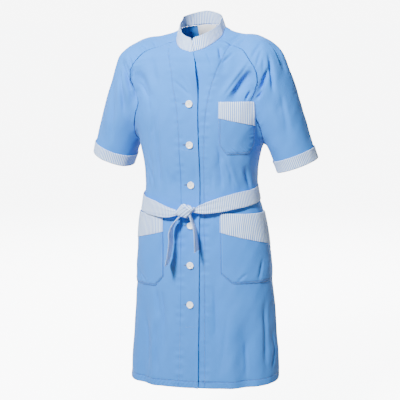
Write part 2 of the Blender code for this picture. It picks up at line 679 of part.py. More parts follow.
def pocket_place(side, pocket, corner, drop, across, down):
    """(points, lift) of the form under a patch pocket; down runs from 0 at its mouth to 1 at its foot."""
    top, foot = pocket["top"] - drop, pocket["foot"] - drop
    level = top + (foot - top) * down
    reach = pocket["width"] or side_girth(level) - SIDE_CLEAR - pocket["start"]
    from_side = np.minimum(across, 1 - across) * np.mean(reach)
    cut_wide, cut_tall = corner
    rise = cut_tall * np.clip(1 - from_side / cut_wide, 0, 1)
    height = top + (foot + rise - top) * down
    girth = pocket["start"] + across * reach
    return mirrored(at_girth(girth, height), side), front_lift(side, girth, height)


def pocket_columns(pocket):
    """Shares of a pocket's width, closer towards the side, with one at each cut corner."""
    cut = pocket["corner"][0] / pocket["about"]
    middle = 1 - (1 - np.linspace(0, 1, POCKET_COLUMNS - 1)) ** SIDE_CROWDING
    return np.r_[0, cut + (1 - 2 * cut) * middle, 1][None, :]


def pocket_belly(across, down):
    return POCKET_BELLY * np.sin(math.pi * across) * np.cos(math.pi / 2 * down)


def patch_pocket(side, name, pocket, drop=0.0):
    across, down = np.broadcast_arrays(pocket_columns(pocket), np.linspace(0, 1, POCKET_ROWS + 1)[:, None])
    base, lift = pocket_place(side, pocket, pocket["corner"], drop, across, down)
    points, normals = cloth(base, lift + POCKET_GAP + WALL + pocket_belly(across, down))
    return walled(name, CLOTH, points, normals, WALL)


def pocket_band(side, name, pocket, band, drop=0.0):
    """The striped band over a pocket's mouth, deeper towards the side."""
    across = pocket_columns(pocket)
    deep = band["inner"] + (band["outer"] - band["inner"]) * across
    down = np.linspace(0, 1, BAND_ROWS + 1)[:, None] * deep / (pocket["top"] - pocket["foot"])
    across = np.broadcast_to(across, down.shape)
    base, lift = pocket_place(side, pocket, NO_CORNER, drop, across, down)
    lift = lift + POCKET_GAP + WALL + BAND_GAP + TRIM_WALL
    points, normals = cloth(base, lift + pocket_belly(across, down))
    return walled(name, TRIM, points, normals, TRIM_WALL)


LABEL_WIDE, LABEL_TALL, LABEL_WALL, LABEL_GAP = 0.058, 0.033, 0.0010, 0.0008
LABEL_TURNS = (140, 220)  # a stretch of the neck wider than the label
LABEL_DOWN = np.array((0, 0.018, -LABEL_TALL))  # from its top to its foot, before it settles
LABEL_DROP = 0.0012  # of its top below the neck seam


def neck_label():
    """A bare woven label inside the back of the neck."""
    x = np.linspace(-LABEL_WIDE / 2, LABEL_WIDE / 2, 7)
    turns = np.linspace(*LABEL_TURNS, 81)
    top = neck_point(np.interp(x, neck_point(turns)[::-1, 0], turns[::-1]))
    guess = top[None] + LABEL_DOWN * np.linspace(0, 1, 4)[:, None, None] - (0, 0, LABEL_DROP)
    points, normals = cloth(settle(guess), -WALL - LABEL_GAP)
    return walled("neck_label", WHITE_CLOTH, points, normals, LABEL_WALL)


# A button's section from the middle of its face, over the rim, to the middle of its back, as shares of
# its radius and its depth.
BUTTON_PROFILE = rows(
    "out up",
    (0.00, 0.62),
    (0.30, 0.62),
    (0.62, 0.66),
    (0.78, 1.00),
    (0.93, 0.92),
    (1.00, 0.55),
    (0.94, 0.10),
    (0.80, 0.00),
    (0.00, 0.00),
)
BUTTON_STEPS = 20
MERGE = 1e-5


def button(number):
    """A turned button with a raised rim and a sunk middle, lying on the over front."""
    name = f"button_{number + 1}"
    out, up = BUTTON_PROFILE["out"] * BUTTON_ACROSS / 2, BUTTON_PROFILE["up"] * BUTTON_DEEP
    mesh = bpy.data.meshes.new(name)
    mesh.from_pydata(np.stack((out, 0 * out, up), -1), [(i, i + 1) for i in range(len(out) - 1)], [])
    mesh.materials.append(WHITE_PLASTIC)
    piece = bpy.data.objects.new(name, mesh)
    SMOCK.objects.link(piece)
    turned = piece.modifiers.new("turned", "SCREW")
    turned.axis = "Z"
    turned.steps = turned.render_steps = BUTTON_STEPS
    turned.use_merge_vertices = True
    turned.merge_threshold = MERGE
    turned.use_smooth_shade = True
    height = FIRST_BUTTON - number * BUTTON_PITCH
    lift = front_lift(-1, np.array([-BUTTON_LINE]), np.array([height]))
    points, normals = cloth(at_girth(BUTTON_LINE, height)[None], lift + BUTTON_GAP)
    facing = Vector(normals[0]).to_track_quat("Z", "Y")
    piece.matrix_world = Matrix.Translation(points[0]) @ facing.to_matrix().to_4x4()
    return piece


# The belt's middle line round the waist, by the angle turned from centre front to the wearer's left:
# its height, how far it stands off the cloth, and its width.
BELT = rows(
    "turn height stand width",
    (-4.0, -0.4990, 0.0140, 0.022),
    (5.0, -0.4965, 0.0140, 0.024),
    (12.0, -0.4920, 0.0135, 0.031),
    (22.0, -0.4850, 0.0120, 0.038),
    (41.0, -0.4735, 0.0095, 0.043),
    (70.0, -0.4650, 0.0045, 0.043),
    (103.0, -0.4600, 0.0012, 0.042),
    (140.0, -0.4570, 0.0012, 0.042),
    (180.0, -0.4580, 0.0012, 0.042),
    (220.0, -0.4650, 0.0012, 0.042),
    (258.0, -0.4800, 0.0012, 0.042),
    (278.0, -0.4860, 0.0030, 0.043),
    (300.0, -0.4930, 0.0070, 0.043),
    (325.0, -0.4990, 0.0100, 0.042),
    (338.0, -0.5040, 0.0125, 0.036),
    (345.0, -0.5055, 0.0135, 0.029),
    (349.0, -0.5050, 0.0140, 0.024),
    (364.0, -0.5040, 0.0140, 0.022),
)
BELT_START, BELT_END = 4.25, 349.8  # where its two ends reach the knot
BELT_COLUMNS = 56
BELT_WALL = 0.0022


def belt():
    turns = np.linspace(BELT_START, BELT_END, BELT_COLUMNS + 1)[None, :]
    up = np.linspace(-0.5, 0.5, 3)[:, None]
    height = read(BELT, "height", turns) + up * read(BELT, "width", turns)
    base = settle(trunk_point(np.radians(turns) + 0 * up, height))
    normals = outward(base) * (1, 1, 0)
    normals /= np.linalg.norm(normals, axis=-1, keepdims=True)
    points = hang(base + normals * (read(BELT, "stand", turns) + BELT_WALL)[..., None])
    return walled("belt", TRIM, points, normals, BELT_WALL)


KNOT_CENTRE = np.array((-0.010, -0.1145, -0.4985))
KNOT_SIZE = np.array((0.026, 0.0100, 0.0195))
KNOT_SQUARENESS = 0.8
KNOT_TILT = math.radians(18)


def belt_knot():
    """The knot as a soft pillow, tilted with the crossing of the two ends."""
    mesh = bpy.data.meshes.new("belt_knot")
    mesh.materials.append(TRIM)
    shape = bmesh.new()
    bmesh.ops.create_uvsphere(shape, u_segments=20, v_segments=12, radius=1.0)
    for vert in shape.verts:
        co = np.array(vert.co)
        vert.co = Vector(np.sign(co) * np.abs(co) ** KNOT_SQUARENESS * KNOT_SIZE)
    bmesh.ops.rotate(shape, verts=shape.verts, matrix=Matrix.Rotation(-KNOT_TILT, 3, "Y"))
    bmesh.ops.translate(shape, verts=shape.verts, vec=KNOT_CENTRE)
    shape.to_mesh(mesh)
    shape.free()
    mesh.shade_smooth()
    piece = bpy.data.objects.new("belt_knot", mesh)
    SMOCK.objects.link(piece)
    return piece


# The belt's free ends, hanging edge on from the knot: the middle line, the way the width lies, as an
# angle turned from straight out of the cloth, and the width.
TAIL_LONG = rows(
    "height x y turn width",
    (-0.5200, -0.0225, -0.1160, 20, 0.014),
    (-0.535, -0.0360, -0.1190, 24, 0.026),
    (-0.552, -0.0445, -0.1230, 12, 0.036),
    (-0.585, -0.0440, -0.1260, -8, 0.041),
    (-0.620, -0.0485, -0.1270, 8, 0.042),
    (-0.650, -0.0570, -0.1255, 14, 0.042),
)
TAIL_SHORT = rows(
    "height x y turn width",
    (-0.5125, 0.0070, -0.1150, -8, 0.014),
    (-0.530, 0.0150, -0.1170, 6, 0.024),
    (-0.548, 0.0230, -0.1210, 10, 0.034),
    (-0.575, 0.0270, -0.1235, 0, 0.040),
    (-0.606, 0.0290, -0.1240, -10, 0.042),
)
TAIL_ROWS = 14
TAIL_WALL = 0.0022


def belt_tail(name, table):
    heights = table["height"][::-1]
    down = np.linspace(heights[-1], heights[0], TAIL_ROWS + 1)
    flipped = {key: column[::-1] for key, column in table.items()}
    middle = np.stack((read(flipped, "x", down), read(flipped, "y", down), down), -1)
    turn = np.radians(read(flipped, "turn", down))
    wide = np.stack((np.sin(turn), -np.cos(turn), 0 * turn), -1)
    along = np.gradient(middle, axis=0)
    normals = np.cross(wide, along)
    normals /= np.linalg.norm(normals, axis=-1, keepdims=True)
    share = np.linspace(-0.5, 0.5, 4)[None, :, None]
    grid = middle[:, None] + share * (wide * read(flipped, "width", down)[:, None])[:, None]
    normals = np.broadcast_to(normals[:, None], grid.shape)
    return walled(name, TRIM, grid + normals * TAIL_WALL / 2, normals, TAIL_WALL)


# ------------------------------------------------------------------ the smock
for left_over in list(bpy.data.objects):
    bpy.data.objects.remove(left_over, do_unlink=True)
SMOCK = bpy.data.collections.new("work_smock")
bpy.context.scene.collection.children.link(SMOCK)
CLOTH = plain_material("blue_cloth", BLUE, 0.85)
TRIM = plain_material("striped_cloth", STRIPED, 0.85)
WHITE_CLOTH = plain_material("label_cloth", WHITE, 0.80)
WHITE_PLASTIC = plain_material("button_plastic", WHITE, 0.30)

back()
for side, word in ((-1, "right"), (1, "left")):
    front(side, f"front_{word}")
    sleeve(side, f"sleeve_{word}")
    cuff(side, f"cuff_{word}")
    drop = HIP_DROP if side < 0 else 0.0
    patch_pocket(side, f"hip_pocket_{word}", HIP_POCKET, drop)
    pocket_band(side, f"hip_pocket_band_{word}", HIP_POCKET, HIP_BAND, drop)
patch_pocket(1, "chest_pocket", CHEST_POCKET)
pocket_band(1, "chest_pocket_band", CHEST_POCKET, CHEST_BAND)
collar()
neck_label()
for number in range(BUTTON_COUNT):
    button(number)
belt()
belt_knot()
belt_tail("belt_tail_long", TAIL_LONG)
belt_tail("belt_tail_short", TAIL_SHORT)
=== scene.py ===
"""The looks of the work smock: thin cloth on the form of its solids, with creases, sewing and finishes.

Metres, +Z up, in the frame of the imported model. The smock faces -Y, so the wearer's right is at -X. The
form, its tables and the way it hangs are those of the part's source, and the cloth is cut on it finer.
"""

import itertools
import math

import bmesh
import bpy
import numpy as np
from mathutils import Matrix, Vector


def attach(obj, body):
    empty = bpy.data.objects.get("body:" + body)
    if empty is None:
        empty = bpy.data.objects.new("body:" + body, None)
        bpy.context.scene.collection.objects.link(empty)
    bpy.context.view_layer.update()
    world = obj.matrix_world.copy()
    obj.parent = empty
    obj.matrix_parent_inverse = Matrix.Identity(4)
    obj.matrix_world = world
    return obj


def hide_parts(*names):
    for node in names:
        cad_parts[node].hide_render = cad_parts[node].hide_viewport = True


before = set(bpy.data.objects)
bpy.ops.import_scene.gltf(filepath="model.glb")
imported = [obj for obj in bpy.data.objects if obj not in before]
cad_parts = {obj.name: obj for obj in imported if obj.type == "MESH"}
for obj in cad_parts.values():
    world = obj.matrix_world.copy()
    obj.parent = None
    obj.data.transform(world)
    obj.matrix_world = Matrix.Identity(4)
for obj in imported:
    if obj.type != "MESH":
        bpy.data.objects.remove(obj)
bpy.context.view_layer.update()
BODY = "root"

# ------------------------------------------------------------------ camera
PICTURE = 400  # pixels each way
FOCAL = 1063  # pixels
SENSOR = 36.0
CAMERA_TURN, CAMERA_RISE, CAMERA_AWAY = math.radians(18), math.radians(9.6), 3.0
AIM = Vector((0, 0, -0.486))
AIM_PAST_MIDDLE = 0.5  # pixels


def camera():
    data = bpy.data.cameras.new("camera")
    data.sensor_width = SENSOR
    data.lens = FOCAL / PICTURE * SENSOR
    data.shift_x = -AIM_PAST_MIDDLE / PICTURE
    eye = linked("camera", data)
    level = math.cos(CAMERA_RISE)
    back = (math.sin(CAMERA_TURN) * level, -math.cos(CAMERA_TURN) * level, math.sin(CAMERA_RISE))
    eye.location = AIM + Vector(back) * CAMERA_AWAY
    eye.rotation_euler = Vector(back).to_track_quat("Z", "Y").to_euler()
    bpy.context.scene.camera = eye


# ------------------------------------------------------------------ sizes, as in the part's source
HEM_HEIGHT = -1.005
WALL = 0.0014
BUTTON_COUNT, BUTTON_PITCH, FIRST_BUTTON, BUTTON_LINE = 6, 0.1115, -0.207, 0.003
BUTTON_ACROSS, BUTTON_DEEP, BUTTON_GAP = 0.020, 0.0034, 0.0006
COLLAR_TALL, COLLAR_LEAN = 0.036, 0.010

# The cloth's own sizes and the number of cells in its meshes
PANEL_CLOTH, TRIM_CLOTH = 0.0007, 0.0005
LOWER_ROWS, UPPER_ROWS = 190, 96
FRONT_COLUMNS, BACK_COLUMNS = 92, 112
SLEEVE_ROWS, SLEEVE_COLUMNS = 44, 100
BORDER = (0.0, 0.0003, 0.0008, 0.0016)  # extra lines of cells beside a border
BORDER_CLEAR = 0.0035
ROLL, EDGE_ROLL, SEAM_ROLL = 0.0017, 0.0009, 0.0016  # how far a hem, a free edge and a seam turn in
HEM_UP = 0.020  # from the fold of the hem to its stitches


def rows(names, *values):
    """A short table as named columns. The first column is what the others are read against."""
    return dict(zip(names.split(), np.array(values, float).T))


TRUNK = rows(
    "height half_width front back squareness middle",
    (-1.060, 0.2200, 0.108, 0.200, 2.10, 0.000),
    (-1.005, 0.2180, 0.108, 0.198, 2.10, 0.000),
    (-0.850, 0.2070, 0.104, 0.190, 2.12, 0.000),
    (-0.700, 0.1960, 0.101, 0.178, 2.15, 0.000),
    (-0.560, 0.1830, 0.099, 0.156, 2.15, 0.000),
    (-0.430, 0.1600, 0.094, 0.132, 2.20, 0.000),
    (-0.330, 0.1710, 0.104, 0.136, 2.30, 0.000),
    (-0.230, 0.1850, 0.110, 0.138, 2.50, 0.000),
    (-0.150, 0.1740, 0.105, 0.130, 2.35, 0.000),
    (-0.100, 0.1640, 0.100, 0.118, 2.20, 0.002),
    (-0.070, 0.1540, 0.088, 0.108, 2.10, 0.007),
    (-0.050, 0.1430, 0.058, 0.099, 2.00, 0.014),
    (-0.030, 0.1200, 0.020, 0.088, 2.00, 0.022),
    (-0.014, 0.0800, -0.003, 0.077, 2.00, 0.028),
    (-0.002, 0.0600, -0.012, 0.071, 2.00, 0.030),
    (0.010, 0.0450, -0.016, 0.067, 2.00, 0.030),
    (0.060, 0.0400, -0.018, 0.062, 2.00, 0.030),
)
SHOULDER = np.array((0.174, 0.004, -0.110))
SLEEVE_END = np.array((0.272, 0.030, -0.378))
ARM = rows(
    "reach across deep",
    (-0.100, 0.0520, 0.070),
    (0.000, 0.0660, 0.078),
    (0.080, 0.0680, 0.077),
    (0.160, 0.0635, 0.072),
    (0.240, 0.0590, 0.064),
    (0.300, 0.0580, 0.060),
    (0.360, 0.0580, 0.060),
)
ARM_DOME = 0.075
MELT = rows("height reach", (-0.30, 0.030), (-0.20, 0.022), (-0.09, 0.055))
NECK = rows(
    "turn x y z",
    (0, 0.000, -0.0880, -0.0700),
    (30, 0.030, -0.0740, -0.0620),
    (60, 0.052, -0.0480, -0.0475),
    (90, 0.0660, -0.0040, -0.0270),
    (120, 0.0550, 0.0360, -0.0090),
    (150, 0.0280, 0.0610, 0.0010),
    (180, 0.0000, 0.0700, 0.0055),
)
FRONT_SEAM_TURN, SHOULDER_TURN, BACK_SEAM_TURN = 70.0, 90.0, 120.0
UNDERARM = np.array((0.1770, 0.018, -0.280))
FRONT_SEAM = rows(
    "x y z",
    (0.170, -0.046, -0.250),
    (0.162, -0.067, -0.212),
    (0.173, -0.072, -0.176),
    (0.182, -0.074, -0.145),
    (0.174, -0.074, -0.110),
    (0.158, -0.068, -0.089),
    (0.136, -0.055, -0.067),
    (0.106, -0.048, -0.050),
    (0.082, -0.046, -0.036),
)
BACK_SEAM = rows(
    "x y z",
    (0.173, 0.035, -0.250),
    (0.168, 0.066, -0.210),
    (0.172, 0.080, -0.170),
    (0.168, 0.084, -0.130),
    (0.150, 0.082, -0.095),
    (0.120, 0.072, -0.060),
    (0.090, 0.058, -0.026),
)
SLEEVE_TOP = rows(
    "x y z",
    (0.236, 0.010, -0.160),
    (0.212, 0.006, -0.095),
    (0.165, 0.004, -0.036),
    (0.115, 0.000, -0.020),
)
FRONT_EDGE = rows(
    "height over lap",
    (-1.100, 0.0270, 0.0470),
    (-0.600, 0.0280, 0.0480),
    (-0.250, 0.0275, 0.0475),
    (-0.165, 0.0268, 0.0468),
    (-0.130, 0.0235, 0.0270),
    (-0.102, 0.0185, -0.0007),
    (-0.068, 0.0090, -0.0007),
    (-0.040, 0.0050, -0.0007),
)
# The under front sinks below the over one, and the over one gapes between the collar and the first
# button; the belt presses the folds flat; the skirt swings out and one shoulder is the higher.
SINK, SINK_FADE, SINK_FULL, SINK_NONE = 0.0022, 0.040, -0.098, -0.076
GAPE, GAPE_FADE, GAPE_TOP, GAPE_FOOT = 0.009, 0.030, -0.072, -0.195
BELT_PRESS, BELT_PRESS_HEIGHT, BELT_PRESS_REACH = 0.94, -0.472, 0.044
SWING, SWING_FADE, SWING_RISE, SWING_TOP, SWING_REACH = 0.008, 0.15, 0.058, -0.38, 0.32
SHOULDER_RISE, SHOULDER_FOOT, SHOULDER_REACH = 0.026, -0.100, 0.060
# The side seam, as an angle from centre front
SIDE = rows("height turn", (-1.10, 104), (-0.43, 103), (-0.35, 99), (-0.28, 95.5))
FLARE_STEP, SLOPE_STEP, LEAST_SLOPE, MOST_STEP = 0.002, 0.0006, 0.05, 0.02
FOLD_TAPER, FOLD_START, FOLD_DEPTH = 0.35, 0.15, 0.03
EDGE_STAND, EDGE_STAND_FADE = 0.0034, 0.012  # how far the over front's edge stands off the under one

# The stitches of the two facings, as distances from centre front towards each side.
FACING = rows(
    "height over under",
    (-1.10, 0.032, 0.045),
    (-0.64, 0.026, 0.042),
    (-0.33, 0.028, 0.042),
    (-0.24, 0.031, 0.048),
    (-0.20, 0.036, 0.054),
    (-0.165, 0.044, 0.061),
    (-0.12, 0.051, 0.075),
    (-0.09, 0.060, 0.086),
    (-0.065, 0.068, 0.094),
    (-0.045, 0.076, 0.097),
)

# The broad folds: a line on the cloth, its half width and how far it is raised.
FOLD_COLUMNS = "x1 y1 z1 x2 y2 z2 width height"
BROAD_FOLDS = rows(
    FOLD_COLUMNS,
    (0.170, -0.066, -0.080, 0.088, -0.097, -0.195, 0.014, 0.0035),
    (0.164, -0.073, -0.112, 0.118, -0.085, -0.205, 0.020, -0.0060),
    (0.100, -0.080, -0.075, 0.088, -0.092, -0.130, 0.016, -0.0030),
    (-0.164, -0.071, -0.120, -0.108, -0.088, -0.205, 0.018, -0.0050),
    (-0.120, -0.070, -0.080, -0.095, -0.092, -0.160, 0.016, -0.0030),
    (0.210, -0.062, -0.110, 0.178, -0.068, -0.196, 0.011, -0.0050),
    (-0.200, -0.064, -0.098, -0.170, -0.058, -0.215, 0.011, -0.0050),
    (0.207, -0.050, -0.078, 0.226, -0.066, -0.180, 0.011, -0.0040),
    (0.202, -0.006, -0.049, 0.245, -0.020, -0.125, 0.011, -0.0040),
    (0.232, -0.060, -0.190, 0.262, -0.040, -0.300, 0.016, -0.0035),
    (-0.210, -0.051, -0.084, -0.184, -0.072, -0.180, 0.011, -0.0040),
    (-0.217, -0.058, -0.108, -0.200, -0.066, -0.255, 0.012, -0.0045),
    (-0.236, -0.050, -0.130, -0.250, -0.050, -0.290, 0.014, -0.0035),
    (-0.105, -0.096, -0.235, -0.093, -0.083, -0.475, 0.015, -0.0035),
    (0.080, -0.096, -0.335, 0.089, -0.084, -0.460, 0.011, -0.0030),
    (0.096, -0.090, -0.330, 0.132, -0.064, -0.470, 0.015, 0.0030),
    (0.140, -0.053, -0.370, 0.158, -0.028, -0.455, 0.012, -0.0040),
    (-0.140, -0.053, -0.380, -0.150, -0.030, -0.470, 0.014, -0.0035),
    (-0.050, -0.096, -0.400, -0.044, -0.093, -0.490, 0.014, -0.0025),
    (0.066, -0.097, -0.650, 0.076, -0.100, -0.900, 0.020, -0.0035),
    (0.150, -0.077, -0.800, 0.156, -0.080, -1.060, 0.028, -0.0060),
    (0.112, -0.090, -0.760, 0.112, -0.098, -1.060, 0.026, 0.0040),
    (-0.090, -0.093, -0.720, -0.082, -0.098, -0.930, 0.018, -0.0035),
    (-0.150, -0.070, -0.740, -0.160, -0.076, -1.060, 0.028, -0.0050),
    (-0.118, -0.085, -0.760, -0.120, -0.095, -1.060, 0.024, 0.0035),
    (0.205, 0.020, -0.700, 0.220, 0.010, -1.060, 0.035, 0.0060),
    (0.150, 0.095, -0.130, 0.100, 0.120, -0.240, 0.022, -0.0050),
    (-0.155, 0.092, -0.120, -0.105, 0.118, -0.250, 0.022, -0.0055),
    (0.060, 0.125, -0.300, 0.072, 0.118, -0.450, 0.018, -0.0050),
    (-0.030, 0.130, -0.320, -0.036, 0.125, -0.455, 0.016, -0.0040),
    (-0.098, 0.112, -0.310, -0.090, 0.108, -0.460, 0.020, -0.0050),
    (0.124, 0.100, -0.320, 0.116, 0.098, -0.425, 0.014, 0.0035),
    (0.030, 0.130, -0.470, 0.046, 0.185, -1.060, 0.034, -0.0080),
    (-0.052, 0.128, -0.470, -0.070, 0.180, -1.060, 0.036, -0.0080),
    (-0.004, 0.130, -0.480, -0.008, 0.190, -1.060, 0.030, 0.0060),
    (0.115, 0.100, -0.490, 0.146, 0.140, -1.060, 0.034, -0.0070),
    (-0.125, 0.095, -0.500, -0.150, 0.135, -1.060, 0.034, -0.0070),
    (0.088, 0.115, -0.500, 0.100, 0.165, -1.060, 0.026, 0.0050),
    (0.200, 0.062, -0.090, 0.214, 0.078, -0.200, 0.014, -0.0045),
    (-0.204, 0.060, -0.088, -0.210, 0.078, -0.210, 0.014, -0.0050),
    (0.236, 0.078, -0.190, 0.258, 0.080, -0.300, 0.018, -0.0040),
    (-0.240, 0.076, -0.180, -0.252, 0.082, -0.310, 0.018, -0.0035),
    (-0.250, 0.010, -0.150, -0.290, 0.030, -0.400, 0.030, 0.0070),
)
# The sharper creases that lie on them.
CREASES = rows(
    FOLD_COLUMNS,
    # puckers on the wearer's right saddle
    (-0.158, -0.037, -0.050, -0.131, -0.052, -0.063, 0.0045, -0.0024),
    (-0.160, -0.044, -0.055, -0.144, -0.059, -0.072, 0.0040, -0.0017),
    (-0.132, -0.020, -0.040, -0.109, -0.051, -0.056, 0.0045, -0.0028),
    (-0.118, -0.028, -0.039, -0.100, -0.052, -0.051, 0.0040, -0.0015),
    (-0.095, -0.037, -0.036, -0.079, -0.060, -0.046, 0.0040, -0.0020),
    (-0.181, -0.056, -0.071, -0.159, -0.071, -0.094, 0.0050, -0.0017),
    # the wearer's right sleeve
    (-0.190, -0.055, -0.073, -0.171, -0.074, -0.117, 0.0050, -0.0030),
    (-0.171, -0.074, -0.115, -0.175, -0.073, -0.152, 0.0045, -0.0022),
    (-0.200, -0.063, -0.092, -0.178, -0.074, -0.140, 0.0052, -0.0032),
    (-0.182, -0.074, -0.130, -0.166, -0.058, -0.216, 0.0056, -0.0036),
    (-0.207, -0.060, -0.094, -0.178, -0.070, -0.186, 0.0052, -0.0024),
    (-0.215, -0.062, -0.115, -0.206, -0.070, -0.250, 0.0060, -0.0024),
    (-0.228, -0.055, -0.120, -0.232, -0.062, -0.230, 0.0060, -0.0014),
    (-0.236, -0.050, -0.200, -0.254, -0.040, -0.330, 0.0070, -0.0016),
    # the wearer's right chest
    (-0.161, -0.070, -0.150, -0.118, -0.084, -0.196, 0.0052, -0.0018),
    (-0.042, -0.103, -0.146, 0.006, -0.107, -0.186, 0.0052, -0.0016),
    (-0.024, -0.103, -0.126, 0.012, -0.107, -0.193, 0.0046, -0.0009),
    (-0.086, -0.101, -0.205, -0.092, -0.081, -0.410, 0.0075, -0.0016),
    (-0.120, -0.085, -0.185, -0.112, -0.090, -0.235, 0.0060, -0.0012),
    (-0.064, -0.080, -0.058, -0.058, -0.088, -0.094, 0.0045, -0.0012),
    # beside the neck, on the wearer's left
    (0.074, -0.067, -0.038, 0.083, -0.081, -0.092, 0.0060, -0.0036),
    (0.043, -0.084, -0.068, 0.064, -0.094, -0.108, 0.0046, -0.0013),
    (0.092, -0.045, -0.042, 0.112, 0.010, -0.032, 0.0045, -0.0024),
    (0.088, -0.068, -0.068, 0.119, 0.000, -0.030, 0.0046, -0.0024),
    (0.086, -0.083, -0.100, 0.116, -0.062, -0.072, 0.0045, -0.0017),
    (0.119, -0.045, -0.056, 0.134, -0.018, -0.041, 0.0048, -0.0020),
    # from the shoulder's point down across the left chest
    (0.184, -0.031, -0.050, 0.162, -0.069, -0.092, 0.0056, -0.0026),
    (0.167, -0.069, -0.086, 0.093, -0.095, -0.190, 0.0060, -0.0024),
    (0.168, -0.074, -0.116, 0.116, -0.086, -0.194, 0.0130, -0.0030),
    (0.162, -0.066, -0.172, 0.146, -0.067, -0.197, 0.0050, -0.0032),
    (0.196, -0.074, -0.172, 0.177, -0.068, -0.196, 0.0050, -0.0034),
    # the wearer's left sleeve
    (0.187, -0.048, -0.064, 0.178, -0.073, -0.112, 0.0050, -0.0022),
    (0.205, -0.049, -0.075, 0.226, -0.067, -0.175, 0.0056, -0.0036),
    (0.198, -0.012, -0.049, 0.240, -0.030, -0.108, 0.0056, -0.0032),
    (0.210, -0.064, -0.110, 0.189, -0.074, -0.174, 0.0060, -0.0044),
    (0.193, -0.058, -0.082, 0.198, -0.072, -0.128, 0.0056, -0.0014),
    (0.240, -0.052, -0.170, 0.262, -0.040, -0.290, 0.0075, -0.0016),
    # down the fronts to the belt, the two darts among them
    (-0.103, -0.094, -0.214, -0.092, -0.082, -0.478, 0.0036, -0.0013),
    (0.082, -0.095, -0.327, 0.091, -0.081, -0.460, 0.0036, -0.0013),
    (0.077, -0.097, -0.318, 0.091, -0.088, -0.364, 0.0056, -0.0018),
    (-0.110, -0.090, -0.268, -0.122, -0.077, -0.345, 0.0070, -0.0016),
    (-0.122, -0.077, -0.335, -0.121, -0.066, -0.450, 0.0070, -0.0022),
    (-0.152, -0.048, -0.365, -0.128, -0.060, -0.468, 0.0060, -0.0024),
    (-0.136, -0.060, -0.370, -0.108, -0.075, -0.468, 0.0056, -0.0018),
    (-0.066, -0.090, -0.390, -0.060, -0.090, -0.480, 0.0056, -0.0012),
    (0.142, -0.053, -0.385, 0.155, -0.028, -0.445, 0.0066, -0.0026),
    (0.096, -0.090, -0.345, 0.133, -0.060, -0.470, 0.0060, -0.0020),
    (0.110, -0.080, -0.395, 0.118, -0.070, -0.465, 0.0056, -0.0016),
    (0.060, -0.095, -0.400, 0.066, -0.090, -0.470, 0.0056, -0.0012),
    # the skirt, in front
    (-0.110, -0.087, -0.725, -0.100, -0.089, -0.810, 0.0090, -0.0026),
    (-0.112, -0.089, -0.815, -0.106, -0.095, -0.975, 0.0100, -0.0026),
    (-0.147, -0.075, -0.810, -0.136, -0.084, -0.975, 0.0100, -0.0022),
    (0.191, -0.034, -0.760, 0.199, -0.043, -0.970, 0.0100, -0.0026),
    (0.207, -0.012, -0.860, 0.212, -0.005, -0.925, 0.0060, -0.0022),
    (0.211, -0.004, -0.905, 0.212, -0.022, -0.962, 0.0055, -0.0022),
    (0.041, -0.099, -0.700, 0.063, -0.096, -0.750, 0.0050, -0.0011),
    (0.033, -0.100, -0.762, 0.055, -0.098, -0.797, 0.0045, -0.0011),
    (-0.180, -0.042, -0.665, -0.162, -0.060, -0.712, 0.0050, -0.0018),
    (-0.168, -0.054, -0.680, -0.143, -0.072, -0.708, 0.0050, -0.0018),
    (0.182, -0.035, -0.645, 0.175, -0.049, -0.705, 0.0055, -0.0018),
    (0.148, -0.070, -0.680, 0.125, -0.079, -0.702, 0.0050, -0.0014),
    (0.062, -0.092, -0.506, 0.083, -0.089, -0.545, 0.0050, -0.0018),
    (0.067, -0.097, -0.710, 0.074, -0.098, -0.850, 0.0060, -0.0015),
    (0.149, -0.077, -0.870, 0.153, -0.078, -0.975, 0.0070, -0.0018),
    (-0.089, -0.093, -0.725, -0.083, -0.096, -0.840, 0.0060, -0.0015),
    (-0.130, -0.080, -0.860, -0.122, -0.090, -0.990, 0.0070, -0.0014),
    (0.100, -0.094, -0.800, 0.092, -0.098, -0.930, 0.0070, -0.0012),
    (-0.060, -0.095, -0.530, -0.056, -0.096, -0.640, 0.0060, -0.0012),
    # the back, of the same kinds
    (0.160, 0.090, -0.110, 0.120, 0.112, -0.190, 0.0060, -0.0026),
    (0.142, 0.098, -0.140, 0.110, 0.115, -0.230, 0.0056, -0.0020),
    (-0.160, 0.090, -0.112, -0.128, 0.110, -0.200, 0.0060, -0.0028),
    (-0.135, 0.100, -0.150, -0.100, 0.118, -0.240, 0.0056, -0.0018),
    (0.052, 0.080, -0.010, 0.060, 0.098, -0.060, 0.0050, -0.0018),
    (-0.048, 0.082, -0.010, -0.056, 0.100, -0.062, 0.0050, -0.0020),
    (0.020, 0.130, -0.330, 0.028, 0.126, -0.455, 0.0060, -0.0018),
    (0.094, 0.112, -0.340, 0.086, 0.112, -0.455, 0.0060, -0.0022),
    (-0.064, 0.126, -0.345, -0.060, 0.120, -0.456, 0.0060, -0.0020),
    (-0.124, 0.098, -0.350, -0.112, 0.100, -0.455, 0.0060, -0.0020),
    (0.066, 0.128, -0.490, 0.078, 0.160, -0.700, 0.0080, -0.0022),
    (-0.088, 0.118, -0.490, -0.104, 0.148, -0.720, 0.0080, -0.0022),
    (-0.020, 0.134, -0.490, -0.026, 0.165, -0.690, 0.0080, -0.0018),
    (0.160, 0.100, -0.640, 0.170, 0.120, -0.880, 0.0090, -0.0018),
    # sleeves, behind
    (0.204, 0.060, -0.095, 0.218, 0.078, -0.190, 0.0056, -0.0030),
    (0.186, 0.070, -0.110, 0.192, 0.084, -0.190, 0.0056, -0.0026),
    (-0.206, 0.060, -0.092, -0.216, 0.078, -0.195, 0.0056, -0.0030),
    (-0.188, 0.070, -0.108, -0.190, 0.084, -0.185, 0.0056, -0.0026),
    (0.262, 0.060, -0.200, 0.276, 0.060, -0.310, 0.0070, -0.0016),
    (-0.262, 0.060, -0.200, -0.276, 0.062, -0.315, 0.0070, -0.0016),
)
CREASE_DEPTH = 1.6  # times the heights above, as the light falls here
